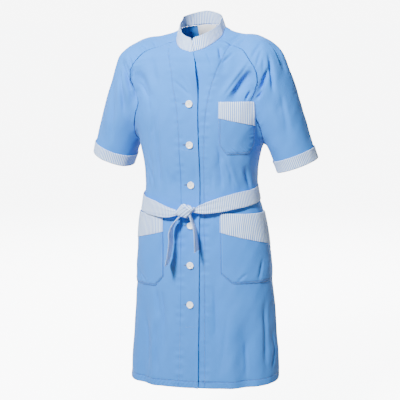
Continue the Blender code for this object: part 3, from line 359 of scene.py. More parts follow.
FOLDS = {name: np.r_[BROAD_FOLDS[name], CREASES[name]] for name in BROAD_FOLDS}
FOLDS["height"][-len(CREASES["height"]) :] *= CREASE_DEPTH

# Slight waves all over, as directions of travel with a length and a height each.
WAVE_COUNT, WAVE_SEED = 26, 7
WAVE_LENGTHS, WAVE_HEIGHT = (0.030, 0.110), 0.00016
PUCKER_WAVES, PUCKER_LENGTHS = 5, (0.013, 0.034)


# ------------------------------------------------------------------ curves through tables
def slopes(x, y):
    between = np.diff(y) / np.diff(x)
    out = np.empty_like(y)
    out[1:-1] = (between[1:] * np.diff(x)[:-1] + between[:-1] * np.diff(x)[1:]) / (x[2:] - x[:-2])
    out[0], out[-1] = between[0], between[-1]
    return out


def hermite(x, y, at):
    """A smooth curve through y at the places x, read at other places."""
    at = np.clip(at, x[0], x[-1])
    i = np.clip(np.searchsorted(x, at) - 1, 0, len(x) - 2)
    m = slopes(x, y)
    h = x[i + 1] - x[i]
    t = (at - x[i]) / h
    return (
        (2 * t**3 - 3 * t**2 + 1) * y[i]
        + (t**3 - 2 * t**2 + t) * h * m[i]
        + (3 * t**2 - 2 * t**3) * y[i + 1]
        + (t**3 - t**2) * h * m[i + 1]
    )


def read(table, name, at):
    return hermite(next(iter(table.values())), table[name], at)


def line_through(points, shares):
    """A smooth line through points, at shares of its length."""
    points = np.array(points, float)
    steps = np.r_[0, np.cumsum(np.linalg.norm(np.diff(points, axis=0), axis=1))]
    fine = np.linspace(0, steps[-1], 400)
    dense = np.stack([hermite(steps, column, fine) for column in points.T], -1)
    run = np.r_[0, np.cumsum(np.linalg.norm(np.diff(dense, axis=0), axis=1))]
    return np.stack([np.interp(np.asarray(shares) * run[-1], run, column) for column in dense.T], -1)


def ease(t):
    """From 0 to 1, slow at both ends."""
    t = np.clip(t, 0, 1)
    return t * t * (3 - 2 * t)


def hump(x, middle, reach):
    """1 at the middle, fading on both sides over about the reach."""
    return np.exp(-(((x - middle) / reach) ** 2))


# ------------------------------------------------------------------ the form
ARM_LINE = SLEEVE_END - SHOULDER
ARM_LENGTH = float(np.linalg.norm(ARM_LINE))
ARM_LINE = ARM_LINE / ARM_LENGTH
ARM_OUTWARD = np.cross((0, 1, 0), ARM_LINE)
ARM_OUTWARD = -ARM_OUTWARD / np.linalg.norm(ARM_OUTWARD)
ARM_BACKWARD = np.cross(ARM_LINE, ARM_OUTWARD)
ARM_BACKWARD = ARM_BACKWARD * np.sign(ARM_BACKWARD[1])


def trunk_distance(p):
    """About how far points lie outside the trunk; negative inside it."""
    x, y, z = np.moveaxis(p, -1, 0)
    a, n, middle = (read(TRUNK, name, z) for name in ("half_width", "squareness", "middle"))
    y = y - middle
    b = np.where(y < 0, read(TRUNK, "front", z) + middle, read(TRUNK, "back", z) - middle)
    share = (np.abs(x / a) ** n + np.abs(y / b) ** n) ** (1 / n)
    r = np.hypot(x, y)
    wider = read(TRUNK, "half_width", z + FLARE_STEP) - read(TRUNK, "half_width", z - FLARE_STEP)
    flare = wider / (2 * FLARE_STEP)
    return (r - r / np.maximum(share, 1e-6)) / np.sqrt(1 + flare**2)


def arm_distance(p):
    """The same for the nearer arm, which ends in a dome above the shoulder."""
    d = np.stack((np.abs(p[..., 0]), p[..., 1], p[..., 2]), -1) - SHOULDER
    t = d @ ARM_LINE
    u, v = d @ ARM_OUTWARD, d @ ARM_BACKWARD
    above = np.minimum(t, 0)
    across, deep = read(ARM, "across", t), read(ARM, "deep", t)
    share = np.sqrt((u / across) ** 2 + (v / deep) ** 2 + (above / ARM_DOME) ** 2)
    r = np.sqrt(u * u + v * v + above**2)
    return r - r / np.maximum(share, 1e-6)


def form_distance(p):
    a, b = trunk_distance(p), arm_distance(p)
    k = np.interp(p[..., 2], MELT["height"], MELT["reach"])
    shared = np.maximum(k - np.abs(a - b), 0) / k
    return np.minimum(a, b) - shared**2 * k / 4


def form_slope(p, step=SLOPE_STEP):
    out = np.empty(p.shape)
    for i, e in enumerate(np.eye(3) * step):
        out[..., i] = (form_distance(p + e) - form_distance(p - e)) / (2 * step)
    return out


def settle(p, rounds=8):
    """Points moved onto the form, each along the form's slope."""
    p = np.array(p, float)
    for _ in range(rounds):
        g = form_slope(p)
        step = (form_distance(p) / np.maximum((g * g).sum(-1), LEAST_SLOPE))[..., None] * g
        size = np.linalg.norm(step, axis=-1, keepdims=True)
        p -= step * np.minimum(1, MOST_STEP / np.maximum(size, 1e-9))
    return p


def outward(p):
    g = form_slope(p)
    return g / np.linalg.norm(g, axis=-1, keepdims=True)


def fold_height(p, n):
    """How far the folds move points of the form along its outward direction n."""
    out = np.zeros(p.shape[:-1])
    for x1, y1, z1, x2, y2, z2, width, height in zip(*FOLDS.values()):
        start, run = np.array((x1, y1, z1)), np.array((x2 - x1, y2 - y1, z2 - z1))
        t = np.clip((p - start) @ run / (run @ run), 0, 1)
        away = p - start - t[..., None] * run
        deep = (away * n).sum(-1)
        across = np.linalg.norm(away - deep[..., None] * n, axis=-1) / width
        ends = ease(np.minimum(t, 1 - t) / FOLD_TAPER + FOLD_START)
        near = 1 - ease(np.abs(deep) / FOLD_DEPTH - 1)
        out += height * ends * near * (1 - across**2) * np.exp(-(across**2))
    return out * (1 - BELT_PRESS * np.exp(-(((p[..., 2] - BELT_PRESS_HEIGHT) / BELT_PRESS_REACH) ** 4)))


def waves(p):
    """Slight unevenness of the cloth, the same for all that lies at a place."""
    draw = np.random.default_rng(WAVE_SEED)
    out = np.zeros(p.shape[:-1])
    for _ in range(WAVE_COUNT):
        way = draw.normal(size=3) * (1.0, 1.0, 0.45)
        way *= 2 * math.pi / draw.uniform(*WAVE_LENGTHS) / np.linalg.norm(way)
        out += WAVE_HEIGHT * np.sin(p @ way + draw.uniform(0, 2 * math.pi))
    return out


def puckers(along, seed):
    """Uneven short waves along a seam, from -1 to 1."""
    draw = np.random.default_rng(seed)
    out = np.zeros(np.shape(along))
    for _ in range(PUCKER_WAVES):
        out += np.sin(2 * math.pi * along / draw.uniform(*PUCKER_LENGTHS) + draw.uniform(0, 2 * math.pi))
    return out / PUCKER_WAVES


def hang(p):
    """How it hangs: the skirt swings and rises to the wearer's left, and that shoulder is the higher."""
    p = np.array(p, float)
    low = ease((SWING_TOP - p[..., 2]) / SWING_REACH)
    high = ease((p[..., 2] - SHOULDER_FOOT) / SHOULDER_REACH)
    p[..., 2] += (SWING_RISE * low + SHOULDER_RISE * high) * p[..., 0]
    p[..., 0] += SWING * low * ease(np.abs(p[..., 0]) / SWING_FADE)
    return p


def cloth(p, extra=0.0):
    """(points, outward) of the cloth's outer face at points of the form, moved out by extra."""
    n = outward(p)
    return hang(p + n * (fold_height(p, n) + waves(p) + extra)[..., None]), n


# ------------------------------------------------------------------ places on the form
HALF_TURN = np.linspace(0, math.pi, 121)


def trunk_point(turn, height):
    """The trunk's point at an angle turned from centre front, positive to the wearer's left."""
    a, n, middle = (read(TRUNK, name, height) for name in ("half_width", "squareness", "middle"))
    c, s = np.cos(turn), np.sin(turn)
    b = np.where(c > 0, read(TRUNK, "front", height) + middle, read(TRUNK, "back", height) - middle)
    x, y = a * np.sign(s) * np.abs(s) ** (2 / n), middle - b * np.sign(c) * np.abs(c) ** (2 / n)
    return np.stack((x, y, height + 0 * turn), -1)


def ring_runs(height):
    """The girth from centre front to each of HALF_TURN at each height."""
    ring = trunk_point(HALF_TURN[None, :], np.ravel(height)[:, None])
    steps = np.linalg.norm(np.diff(ring, axis=1), axis=2)
    return np.c_[np.zeros(len(ring)), np.cumsum(steps, axis=1)]


def at_girth(girth, height):
    """Points of the form at a girth from centre front, positive to the wearer's left."""
    girth, height = np.broadcast_arrays(np.asarray(girth, float), np.asarray(height, float))
    levels, level = np.unique(height, return_inverse=True)
    turn = np.empty(girth.size)
    level, flat = level.ravel(), np.abs(girth).ravel()
    for i, run in enumerate(ring_runs(levels)):
        turn[level == i] = np.interp(flat[level == i], run, HALF_TURN)
    return settle(trunk_point(turn.reshape(girth.shape) * np.sign(girth), height))


def side_girth(height):
    """The girth from centre front to the side seam."""
    height = np.asarray(height, float)
    turn = np.radians(read(SIDE, "turn", height)).ravel()
    girth = [np.interp(t, HALF_TURN, run) for t, run in zip(turn, ring_runs(height))]
    return np.array(girth).reshape(height.shape)


def neck_point(turn):
    """Points of the neck seam at an angle in degrees from centre front, positive to the wearer's left."""
    turn = (np.asarray(turn, float) + 180) % 360 - 180
    p = np.stack([read(NECK, axis, np.abs(turn)) for axis in "xyz"], -1)
    p[..., 0] *= np.where(turn < 0, -1, 1)
    return settle(p)


def neck_turn(x):
    """The angle at which the neck seam's front passes x."""
    turns = np.linspace(-40, 40, 81)
    return float(np.interp(x, neck_point(turns)[:, 0], turns))


def patch(bottom, top, left, right, u, v):
    """A surface between four lines: bottom and top run across at u, left and right run up at v."""
    u, v = u[None, :, None], v[:, None, None]
    across = (1 - v) * bottom[None] + v * top[None]
    up = (1 - u) * left[:, None] + u * right[:, None]
    low = (1 - u) * bottom[0] + u * bottom[-1]
    high = (1 - u) * top[0] + u * top[-1]
    return across + up - (1 - v) * low - v * high


def seam_line(table, start, end, shares):
    """A seam on the form, from start through the table's points to end."""
    line = settle(line_through([start, *zip(*table.values()), end], shares))
    line[0], line[-1] = start, end
    return line


ARMPIT = settle(UNDERARM)


# ------------------------------------------------------------------ grids and their borders
def spread(count, length, start=True, end=True):
    """Shares of a length: count even cells, and closer ones beside the borders that are asked for."""
    near = np.array(BORDER) / length
    clear = BORDER_CLEAR / length
    middle = np.linspace(clear if start else 0, 1 - clear if end else 1, count + 1)
    return np.r_[near if start else [], middle, 1 - near[::-1] if end else []]


def run_from(points, axis, far=False):
    """The length along a grid's rows (axis 1) or columns (axis 0) from its first border, or its far one."""
    steps = np.linalg.norm(np.diff(points, axis=axis), axis=-1)
    lead = np.zeros_like(np.take(steps, [0], axis=axis))
    run = np.cumsum(np.concatenate((lead, steps), axis=axis), axis=axis)
    return np.take(run, [-1], axis=axis) - run if far else run


def rolled(away, size):
    """How far a border turns in, at a distance from it."""
    return -size * (1 - np.sqrt(1 - np.clip(1 - away / size, 0, 1) ** 2))


def sampled(grid, row, column):
    """A grid's points at fractional rows and columns."""
    row, column = np.broadcast_arrays(row, column)
    r = np.clip(row.astype(int), 0, grid.shape[0] - 2)
    c = np.clip(column.astype(int), 0, grid.shape[1] - 2)
    s, t = (row - r)[..., None], (column - c)[..., None]
    low = grid[r, c] * (1 - t) + grid[r, c + 1] * t
    return low * (1 - s) + (grid[r + 1, c] * (1 - t) + grid[r + 1, c + 1] * t) * s


def row_at(run, distance):
    """For each column, the fractional row at a distance along it."""
    index = np.arange(run.shape[0])
    return np.array([np.interp(distance, np.sort(line), np.argsort(line)[index]) for line in run.T])


def column_at(run, distance):
    return row_at(run.T, distance)


def on_grid(points, normals, row, column):
    """A line on a cloth at fractional rows and columns, with its outward directions."""
    return sampled(points, row, column), sampled(normals, row, column)


def mirrored(points, side):
    return points * np.array((side, 1, 1))


# ------------------------------------------------------------------ finishes
class Link:
    """A socket's value in a finish, so that shader maths reads as a sum."""

    def __init__(self, finish, socket):
        self.finish, self.socket = finish, socket

    def maths(self, operation, *terms, clamp=False):
        return self.finish.add("ShaderNodeMath", {"operation": operation, "use_clamp": clamp}, *terms)

    def __add__(self, other):
        return self.maths("ADD", self, other)

    def __sub__(self, other):
        return self.maths("SUBTRACT", self, other)

    def __rsub__(self, other):
        return self.maths("SUBTRACT", other, self)

    def __mul__(self, other):
        return self.maths("MULTIPLY", self, other)

    def __truediv__(self, other):
        return self.maths("DIVIDE", self, other)

    __radd__, __rmul__ = __add__, __mul__

    def step(self, middle, half):
        """0 below middle - half and 1 above middle + half."""
        return self.maths("MULTIPLY_ADD", self, 0.5 / half, 0.5 - middle * 0.5 / half, clamp=True)

    def zigzag(self, length):
        """From 0 to 1 and back over each length."""
        return self.maths("PINGPONG", self, length / 2) / (length / 2)

    def wave(self, length):
        return self.maths("SINE", self * (2 * math.pi / length))


class Finish:
    """A procedural material, built node by node onto its Principled shader."""

    def __init__(self, name, roughness, **settings):
        self.material = bpy.data.materials.new(name)
        self.material.use_nodes = True
        self.tree = self.material.node_tree
        self.shader = self.tree.nodes["Principled BSDF"]
        self.shader.inputs["Roughness"].default_value = roughness
        for socket, value in settings.items():
            self.shader.inputs[socket.replace("_", " ")].default_value = value

    def set(self, node, key, value):
        if isinstance(value, Link):
            self.tree.links.new(value.socket, node.inputs[key])
        else:
            node.inputs[key].default_value = value

    def add(self, kind, settings, *values, out=0, **named):
        """A node of a kind with its settings, then its sockets in order or by name; gives one output."""
        node = self.tree.nodes.new(kind)
        for key, value in settings.items():
            setattr(node, key, value)
        for key, value in [*enumerate(values), *((k.replace("_", " "), v) for k, v in named.items())]:
            self.set(node, key, value)
        return Link(self, node.outputs[out])

    def place(self):
        return self.add("ShaderNodeTexCoord", {}, out="Object")

    def across_and_along(self):
        """The cloth's own map in metres: across its grain and along it."""
        split = self.add("ShaderNodeSeparateXYZ", {}, self.add("ShaderNodeUVMap", {"uv_map": MAP}))
        return split, Link(self, split.socket.node.outputs[1])

    def kept(self, name):
        """A value kept on the piece's points."""
        return self.add("ShaderNodeAttribute", {"attribute_name": name}, out="Fac")

    def noise(self, place, scale, detail=2.0):
        return self.add("ShaderNodeTexNoise", {}, Vector=place, Scale=scale, Detail=detail)

    def mix(self, share, first, second):
        settings = {"data_type": "RGBA", "blend_type": "MIX"}
        node = self.add("ShaderNodeMix", settings, share, out=2).socket.node
        for key, colour in ((6, first), (7, second)):
            self.set(node, key, colour)
        return Link(self, node.outputs[2])

    def raised(self, height):
        """Bumps of a height in metres."""
        bump = self.add("ShaderNodeBump", {}, Strength=1.0, Distance=1.0, Height=height)
        self.tree.links.new(bump.socket, self.shader.inputs["Normal"])

    def colour(self, link):
        self.tree.links.new(link.socket, self.shader.inputs["Base Color"])

    def rough(self, link):
        self.tree.links.new(link.socket, self.shader.inputs["Roughness"])


MAP = "cloth_map"
# The finishes paint shade and sink a groove near these lines of stitches and seams, darkest at the line.
SEWN = "sewn"  # distance to the nearest line of stitches
YARN = 0.00045
# The last of these is painted shade, laid on the blue cloth along its stitches and seams.
BLUE, PALE_BLUE, GROOVE_SHADE_BLUE = (0.022, 0.212, 0.700, 1), (0.034, 0.238, 0.750, 1), (0.008, 0.080, 0.360, 1)
STRIPE_BLUE, STRIPE_WHITE = (0.060, 0.260, 0.800, 1), (0.780, 0.900, 1.000, 1)
STRIPE_PITCH, STRIPE_START, STRIPE_SOFT = 0.0050, 0.56, 0.10
LABEL_WHITE, LABEL_SHADE = (0.90, 0.90, 0.89, 1), (0.82, 0.82, 0.81, 1)
PLASTIC_WHITE, PLASTIC_CREAM = (0.88, 0.88, 0.86, 1), (0.80, 0.80, 0.77, 1)


def blue_cloth():
    """A plain-woven cotton mix with a slight bloom, and shade painted along its stitches and seams."""
    finish = Finish("blue_poplin", 0.85, Specular_IOR_Level=0.12, Sheen_Weight=0.03)
    across, along = finish.across_and_along()
    place = finish.place()
    weave = across.wave(YARN) * along.wave(YARN)
    drift = finish.noise(place, 9.0).step(0.5, 0.22)
    slub = finish.noise(place, 900.0, 1.0).step(0.5, 0.3)
    # Painted shade: darker towards the stitches and seams, standing for the shade in their grooves.
    painted_groove_shade = 1 - finish.kept(SEWN).step(0.0013, 0.0009)
    tone = finish.mix(drift * 0.7 + slub * 0.3, BLUE, PALE_BLUE)
    finish.colour(finish.mix(painted_groove_shade * 0.75, tone, GROOVE_SHADE_BLUE))
    finish.rough(0.78 + slub * 0.10)
    crinkle = finish.noise(place, 48.0, 4.0) * 0.00080
    groove = (1 - finish.kept(SEWN).step(0.0012, 0.0012)) * -0.0004
    finish.raised(weave * 0.000025 + crinkle + groove)
    return finish.material


def striped_cloth():
    """The same cloth woven in fine white and blue stripes that run along its map."""
    finish = Finish("pinstripe_poplin", 0.85, Specular_IOR_Level=0.15, Sheen_Weight=0.03)
    across, along = finish.across_and_along()
    place = finish.place()
    wander = finish.noise(place, 60.0) * 0.0005
    stripe = (across + wander).zigzag(STRIPE_PITCH).step(STRIPE_START, STRIPE_SOFT)
    slub = finish.noise(place, 900.0, 1.0).step(0.5, 0.3)
    # Painted shade along the stitches, mixed below with the slub's own random tone, both darkening the
    # stripes towards blue.
    painted_groove_shade = 1 - finish.kept(SEWN).step(0.0008, 0.0006)
    tone = finish.mix(stripe, STRIPE_WHITE, STRIPE_BLUE)
    finish.colour(finish.mix(painted_groove_shade * 0.35 + slub * 0.06, tone, STRIPE_BLUE))
    weave = across.wave(YARN) * along.wave(YARN)
    crinkle = finish.noise(place, 60.0, 4.0) * 0.00050
    finish.raised(weave * 0.000025 + crinkle + stripe * 0.00002)
    return finish.material


def label_cloth():
    """A bare woven label, with fine ribs across it."""
    finish = Finish("woven_label_white", 0.70)
    across, along = finish.across_and_along()
    rib = along.wave(0.0007)
    finish.colour(finish.mix(rib.step(0.0, 1.0) * 0.4, LABEL_WHITE, LABEL_SHADE))
    finish.raised(rib * 0.00003 + across.wave(YARN) * 0.00001)
    return finish.material


def button_plastic():
    """Moulded white plastic, satin and slightly uneven in tone."""
    finish = Finish("satin_white_plastic", 0.30, Coat_Weight=0.25, Coat_Roughness=0.20)
    cloud = finish.noise(finish.place(), 160.0).step(0.5, 0.25)
    finish.colour(finish.mix(cloud, PLASTIC_WHITE, PLASTIC_CREAM))
    finish.rough(0.26 + cloud * 0.10)
    finish.raised(finish.noise(finish.place(), 1500.0, 1.0) * 0.00001)
    return finish.material


def thread(name, colour, shade):
    """Twisted sewing thread."""
    finish = Finish(name, 0.60)
    ply = finish.noise(finish.place(), 2500.0, 1.0).step(0.5, 0.25)
    finish.colour(finish.mix(ply, colour, shade))
    finish.raised(ply * 0.00003)
    return finish.material


# ------------------------------------------------------------------ making pieces
def grid_faces(height, width):
    """The cells of a grid of points, as corners numbered row by row."""
    r, c = np.mgrid[0 : height - 1, 0 : width - 1]
    first = r * width + c
    return np.stack((first, first + 1, first + width + 1, first + width), -1).reshape(-1, 4)


def put_back(shape, mesh):
    """Writes an edited shape to its mesh, facing outwards and smooth."""
    bmesh.ops.recalc_face_normals(shape, faces=shape.faces)
    shape.to_mesh(mesh)
    shape.free()
    mesh.shade_smooth()
    return mesh


def linked(name, data):
    piece = bpy.data.objects.new(name, data)
    bpy.context.scene.collection.objects.link(piece)
    return piece


def baked(maker):
    """The plain mesh that an object's modifiers give."""
    bpy.context.view_layer.update()
    return bpy.data.meshes.new_from_object(maker.evaluated_get(bpy.context.evaluated_depsgraph_get()))


def mapped_mesh(name, points, normals, uv, finish, kept=None, joined=False, same=None):
    """A mesh through a grid of points, facing along normals, with its map and the values kept on it.

    joined closes each row into a ring by making its last column the first; same does so for the points
    that it numbers."""
    height, width = points.shape[:2]
    corners = grid_faces(height, width)
    numbers = np.arange(height * width)
    if joined:
        same = numbers.reshape(height, width).copy()
        same[:, -1] = same[:, 0]
        same = same.ravel()
    flat = points.reshape(-1, 3)
    sides = flat[corners]
    facing = np.cross(sides[:, 2] - sides[:, 0], sides[:, 3] - sides[:, 1])
    if (facing * normals.reshape(-1, 3)[corners[:, 0]]).sum() < 0:
        corners = corners[:, ::-1]
    used = corners if same is None else same[corners]
    left = np.unique(used)
    renumbered = np.zeros(len(numbers), int)
    renumbered[left] = np.arange(len(left))
    mesh = bpy.data.meshes.new(name)
    mesh.from_pydata(flat[left], [], renumbered[used].tolist())
    layer = mesh.uv_layers.new(name=MAP)
    layer.data.foreach_set("uv", uv.reshape(-1, 2)[corners.ravel()].astype(np.float32).ravel())
    for key, values in (kept or {}).items():
        attribute = mesh.attributes.new(key, "FLOAT", "POINT")
        attribute.data.foreach_set("value", np.broadcast_to(values, (height, width)).ravel()[left])
    mesh.shade_smooth()
    mesh.materials.append(finish)
    return linked(name, mesh)


def thickened(piece, wall):
    """Gives a sheet its thickness, behind the face that shows."""
    solid = piece.modifiers.new("cloth_thickness", "SOLIDIFY")
    solid.thickness = wall
    solid.offset = -1.0
    return piece


def metres(points, middle=False):
    """A grid's own map: across by the length of its rows and along by that of its columns."""
    across, along = run_from(points, 1), run_from(points, 0)
    if middle:
        across = across - across[:, [across.shape[1] // 2]]
    return np.stack((across, along), -1)


def finished(piece, slot, *nodes):
    """Rides on the smock's body and hides the solid that it stands for; its slot is not used."""
    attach(piece, BODY)
    if nodes:
        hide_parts(*nodes)
    return piece


def panel(name, points, normals, uv, marks, **closing):
    """A piece of the blue cloth, in place of the solid of its name."""
    piece = mapped_mesh(f"{name}_cloth", points, normals, uv, BLUE_CLOTH, {SEWN: marks}, **closing)
    thickened(piece, PANEL_CLOTH)
    return finished(piece, "blue_cloth", name)


def trim(name, points, normals, uv, marks, **closing):
    """The same of the striped cloth."""
    piece = mapped_mesh(f"{name}_cloth", points, normals, uv, STRIPED_CLOTH, {SEWN: marks}, **closing)
    thickened(piece, TRIM_CLOTH)
    return finished(piece, "striped_cloth", name)


# ------------------------------------------------------------------ stitches
OUT = "outward"
STITCH_PITCH, STITCH_LONG, STITCH_WIDE = 0.0033, 0.0026, 0.00055
SATIN_PITCH, SATIN_LONG, SATIN_WIDE = 0.00055, 0.0019, 0.00055
THREAD_PROUD = 0.00012  # of the cloth under it


def stitching_tree():
    """Lays stitches along the lines of a mesh. Turned by a quarter they lie across, as satin does."""
    tree = bpy.data.node_groups.new("stitching", "GeometryNodeTree")
    sockets = {}
    for name, kind in (
        ("Lines", "NodeSocketGeometry"),
        ("Pitch", "NodeSocketFloat"),
        ("Long", "NodeSocketFloat"),
        ("Wide", "NodeSocketFloat"),
        ("Turn", "NodeSocketFloat"),
        ("Thread", "NodeSocketMaterial"),
    ):
        sockets[name] = tree.interface.new_socket(name, in_out="INPUT", socket_type=kind).identifier
    tree.interface.new_socket("Stitches", in_out="OUTPUT", socket_type="NodeSocketGeometry")

    def add(kind, settings=None, **values):
        node = tree.nodes.new(kind)
        for key, value in (settings or {}).items():
            setattr(node, key, value)
        for key, value in values.items():
            socket = node.inputs[int(key[1:]) if key[1:].isdigit() else key.replace("_", " ")]
            if isinstance(value, bpy.types.NodeSocket):
                tree.links.new(value, socket)
            else:
                socket.default_value = value
        return node.outputs

    given = add("NodeGroupInput")
    curve = add("GeometryNodeMeshToCurve", Mesh=given["Lines"])["Curve"]
    laid = add("GeometryNodeCurveToPoints", {"mode": "LENGTH"}, Curve=curve, Length=given["Pitch"])
    up = add("GeometryNodeInputNamedAttribute", {"data_type": "FLOAT_VECTOR"}, Name=OUT)["Attribute"]
    stood = add("FunctionNodeAlignRotationToVector", {"axis": "Z"}, Vector=up)["Rotation"]
    turned = add(
        "FunctionNodeAlignRotationToVector",
        {"axis": "X", "pivot_axis": "Z"},
        Rotation=stood,
        Vector=laid["Tangent"],
    )["Rotation"]
    quarter = add("ShaderNodeCombineXYZ", Z=given["Turn"])["Vector"]
    across = add("FunctionNodeEulerToRotation", Euler=quarter)["Rotation"]
    way = add("FunctionNodeRotateRotation", {"rotation_space": "LOCAL"}, Rotation=turned, Rotate_By=across)
    size = add("ShaderNodeCombineXYZ", X=given["Long"], Y=given["Wide"], Z=given["Wide"])["Vector"]
    bead = add("GeometryNodeMeshUVSphere", Segments=6, Rings=4, Radius=0.5)["Mesh"]
    stitch = add("GeometryNodeTransform", Geometry=bead, Scale=size)["Geometry"]
    copies = add(
        "GeometryNodeInstanceOnPoints", Points=laid["Points"], Instance=stitch, Rotation=way["Rotation"]
    )["Instances"]
    real = add("GeometryNodeRealizeInstances", Geometry=copies)["Geometry"]
    dressed = add("GeometryNodeSetMaterial", Geometry=real, Material=given["Thread"])["Geometry"]
    add("NodeGroupOutput", Stitches=dressed)
    return tree, sockets


def sewn(name, slot, colour, lines, pitch=STITCH_PITCH, long=STITCH_LONG, wide=STITCH_WIDE, turn=0.0):
    """One mesh of all the stitches along lines, each a pair of its points and their outward directions."""
    points = np.concatenate([line for line, _ in lines])
    outwards = np.concatenate([ways for _, ways in lines])
    edges, first = [], 0
    for line, _ in lines:
        edges += [(first + i, first + i + 1) for i in range(len(line) - 1)]
        first += len(line)
    mesh = bpy.data.meshes.new(f"{name}_lines")
    mesh.from_pydata(points + outwards * THREAD_PROUD, edges, [])
    attribute = mesh.attributes.new(OUT, "FLOAT_VECTOR", "POINT")
    attribute.data.foreach_set("vector", outwards.astype(np.float32).ravel())
    maker = linked(mesh.name, mesh)
    stitching = maker.modifiers.new("stitching", "NODES")
    stitching.node_group = STITCHING
    values = {"Pitch": pitch, "Long": long, "Wide": wide, "Turn": turn, "Thread": colour}
    for key, value in values.items():
        stitching[SOCKETS[key]] = value
    made = baked(maker)
    bpy.data.objects.remove(maker, do_unlink=True)
    made.name = f"{name}_stitches"
    made.shade_smooth()
    return finished(linked(made.name, made), slot)


# ------------------------------------------------------------------ fronts and back
FRONT_WIDE, BACK_WIDE, LOWER_TALL, UPPER_TALL = 0.30, 0.46, 0.725, 0.21
SEAM_PUCKER, SEAM_PUCKER_REACH, SEAM_PUCKER_SLANT, SEAM_CLEAR = 0.0010, 0.022, 0.3, 0.004
SEAM_SHADE = 0.0003  # kept between a seam and its darkest line
HEM_PUCKER, HEM_PUCKER_LONG, HEM_PUCKER_SLANT = 0.0014, 0.013, 0.7
HEM_CLEAR, HEM_PAST, HEM_FADE = 0.003, 0.006, 0.008  # where its puckers start and end
HEM_GROOVE, FACING_GROOVE, GROOVE_WIDE = 0.0006, 0.0007, 0.0022
FACING_PUCKER, FACING_PUCKER_AT, FACING_PUCKER_REACH = 0.0012, 0.006, 0.007


def lower_heights():
    """The rows from the hem up to the armpit, one of them on the hem's stitches."""
    shares = spread(LOWER_ROWS, LOWER_TALL, end=False)
    heights = HEM_HEIGHT + (ARMPIT[2] - HEM_HEIGHT) * shares
    heights[np.argmin(np.abs(heights - HEM_HEIGHT - HEM_UP))] = HEM_HEIGHT + HEM_UP
    return heights


def edge_girth(side, height):
    """A front's free edge as a girth towards its own side; side is 1 for the wearer's left, -1 right."""
    over = read(FRONT_EDGE, "over", height)
    return over - np.interp(height, FRONT_EDGE["height"], FRONT_EDGE["lap"]) if side > 0 else -over


def front_lift(side, girth, height):
    """How far a front stands off the form: the under one sinks, the over one gapes at its edge."""
    over = read(FRONT_EDGE, "over", height)
    if side > 0:
        beside = 1 - ease((girth - over) / SINK_FADE)
        return -SINK * beside * ease((SINK_NONE - height) / (SINK_NONE - SINK_FULL))
    along = np.clip((height - GAPE_FOOT) / (GAPE_TOP - GAPE_FOOT), 0, 1)
    gape = GAPE * np.sin(math.pi * along) ** 2 * ease(1 - (over + girth) / GAPE_FADE)
    low = ease((SINK_NONE - height) / (SINK_NONE - SINK_FULL))
    return gape + EDGE_STAND * ease(1 - (over + girth) / EDGE_STAND_FADE) * low


def sewn_border(away, along, seed):
    """A seam's groove and the puckers beside it."""
    fade = hump(away, 0, SEAM_PUCKER_REACH) * ease(away / SEAM_CLEAR)
    return rolled(away, SEAM_ROLL) + SEAM_PUCKER * puckers(along + away * SEAM_PUCKER_SLANT, seed) * fade


def hem_relief(above, along, seed):
    """The hem's fold, the puckers between it and its stitches, and their groove."""
    inside = ease(above / HEM_CLEAR) * ease((HEM_UP + HEM_PAST - above) / HEM_FADE)
    slant = along + HEM_PUCKER_SLANT * above
    drift = 0.35 * HEM_PUCKER_LONG * puckers(along * 0.3, seed + 1)
    wave = np.sin(2 * math.pi * (slant + drift) / HEM_PUCKER_LONG) * (0.6 + 0.4 * puckers(along * 0.4, seed))
    return rolled(above, ROLL) + HEM_PUCKER * inside * wave - HEM_GROOVE * hump(above, HEM_UP, GROOVE_WIDE)


def hem_line(points, normals, above_hem):
    """The line of the hem's stitches, without its two ends."""
    line = on_grid(points, normals, row_at(above_hem, HEM_UP), np.arange(points.shape[1]))
    return line[0][1:-1], line[1][1:-1]


def facing_line(base, side):
    """How far a facing's stitches lie from centre front, beside each of a front's points."""
    return read(FACING, "under" if side > 0 else "over", base[..., 2])


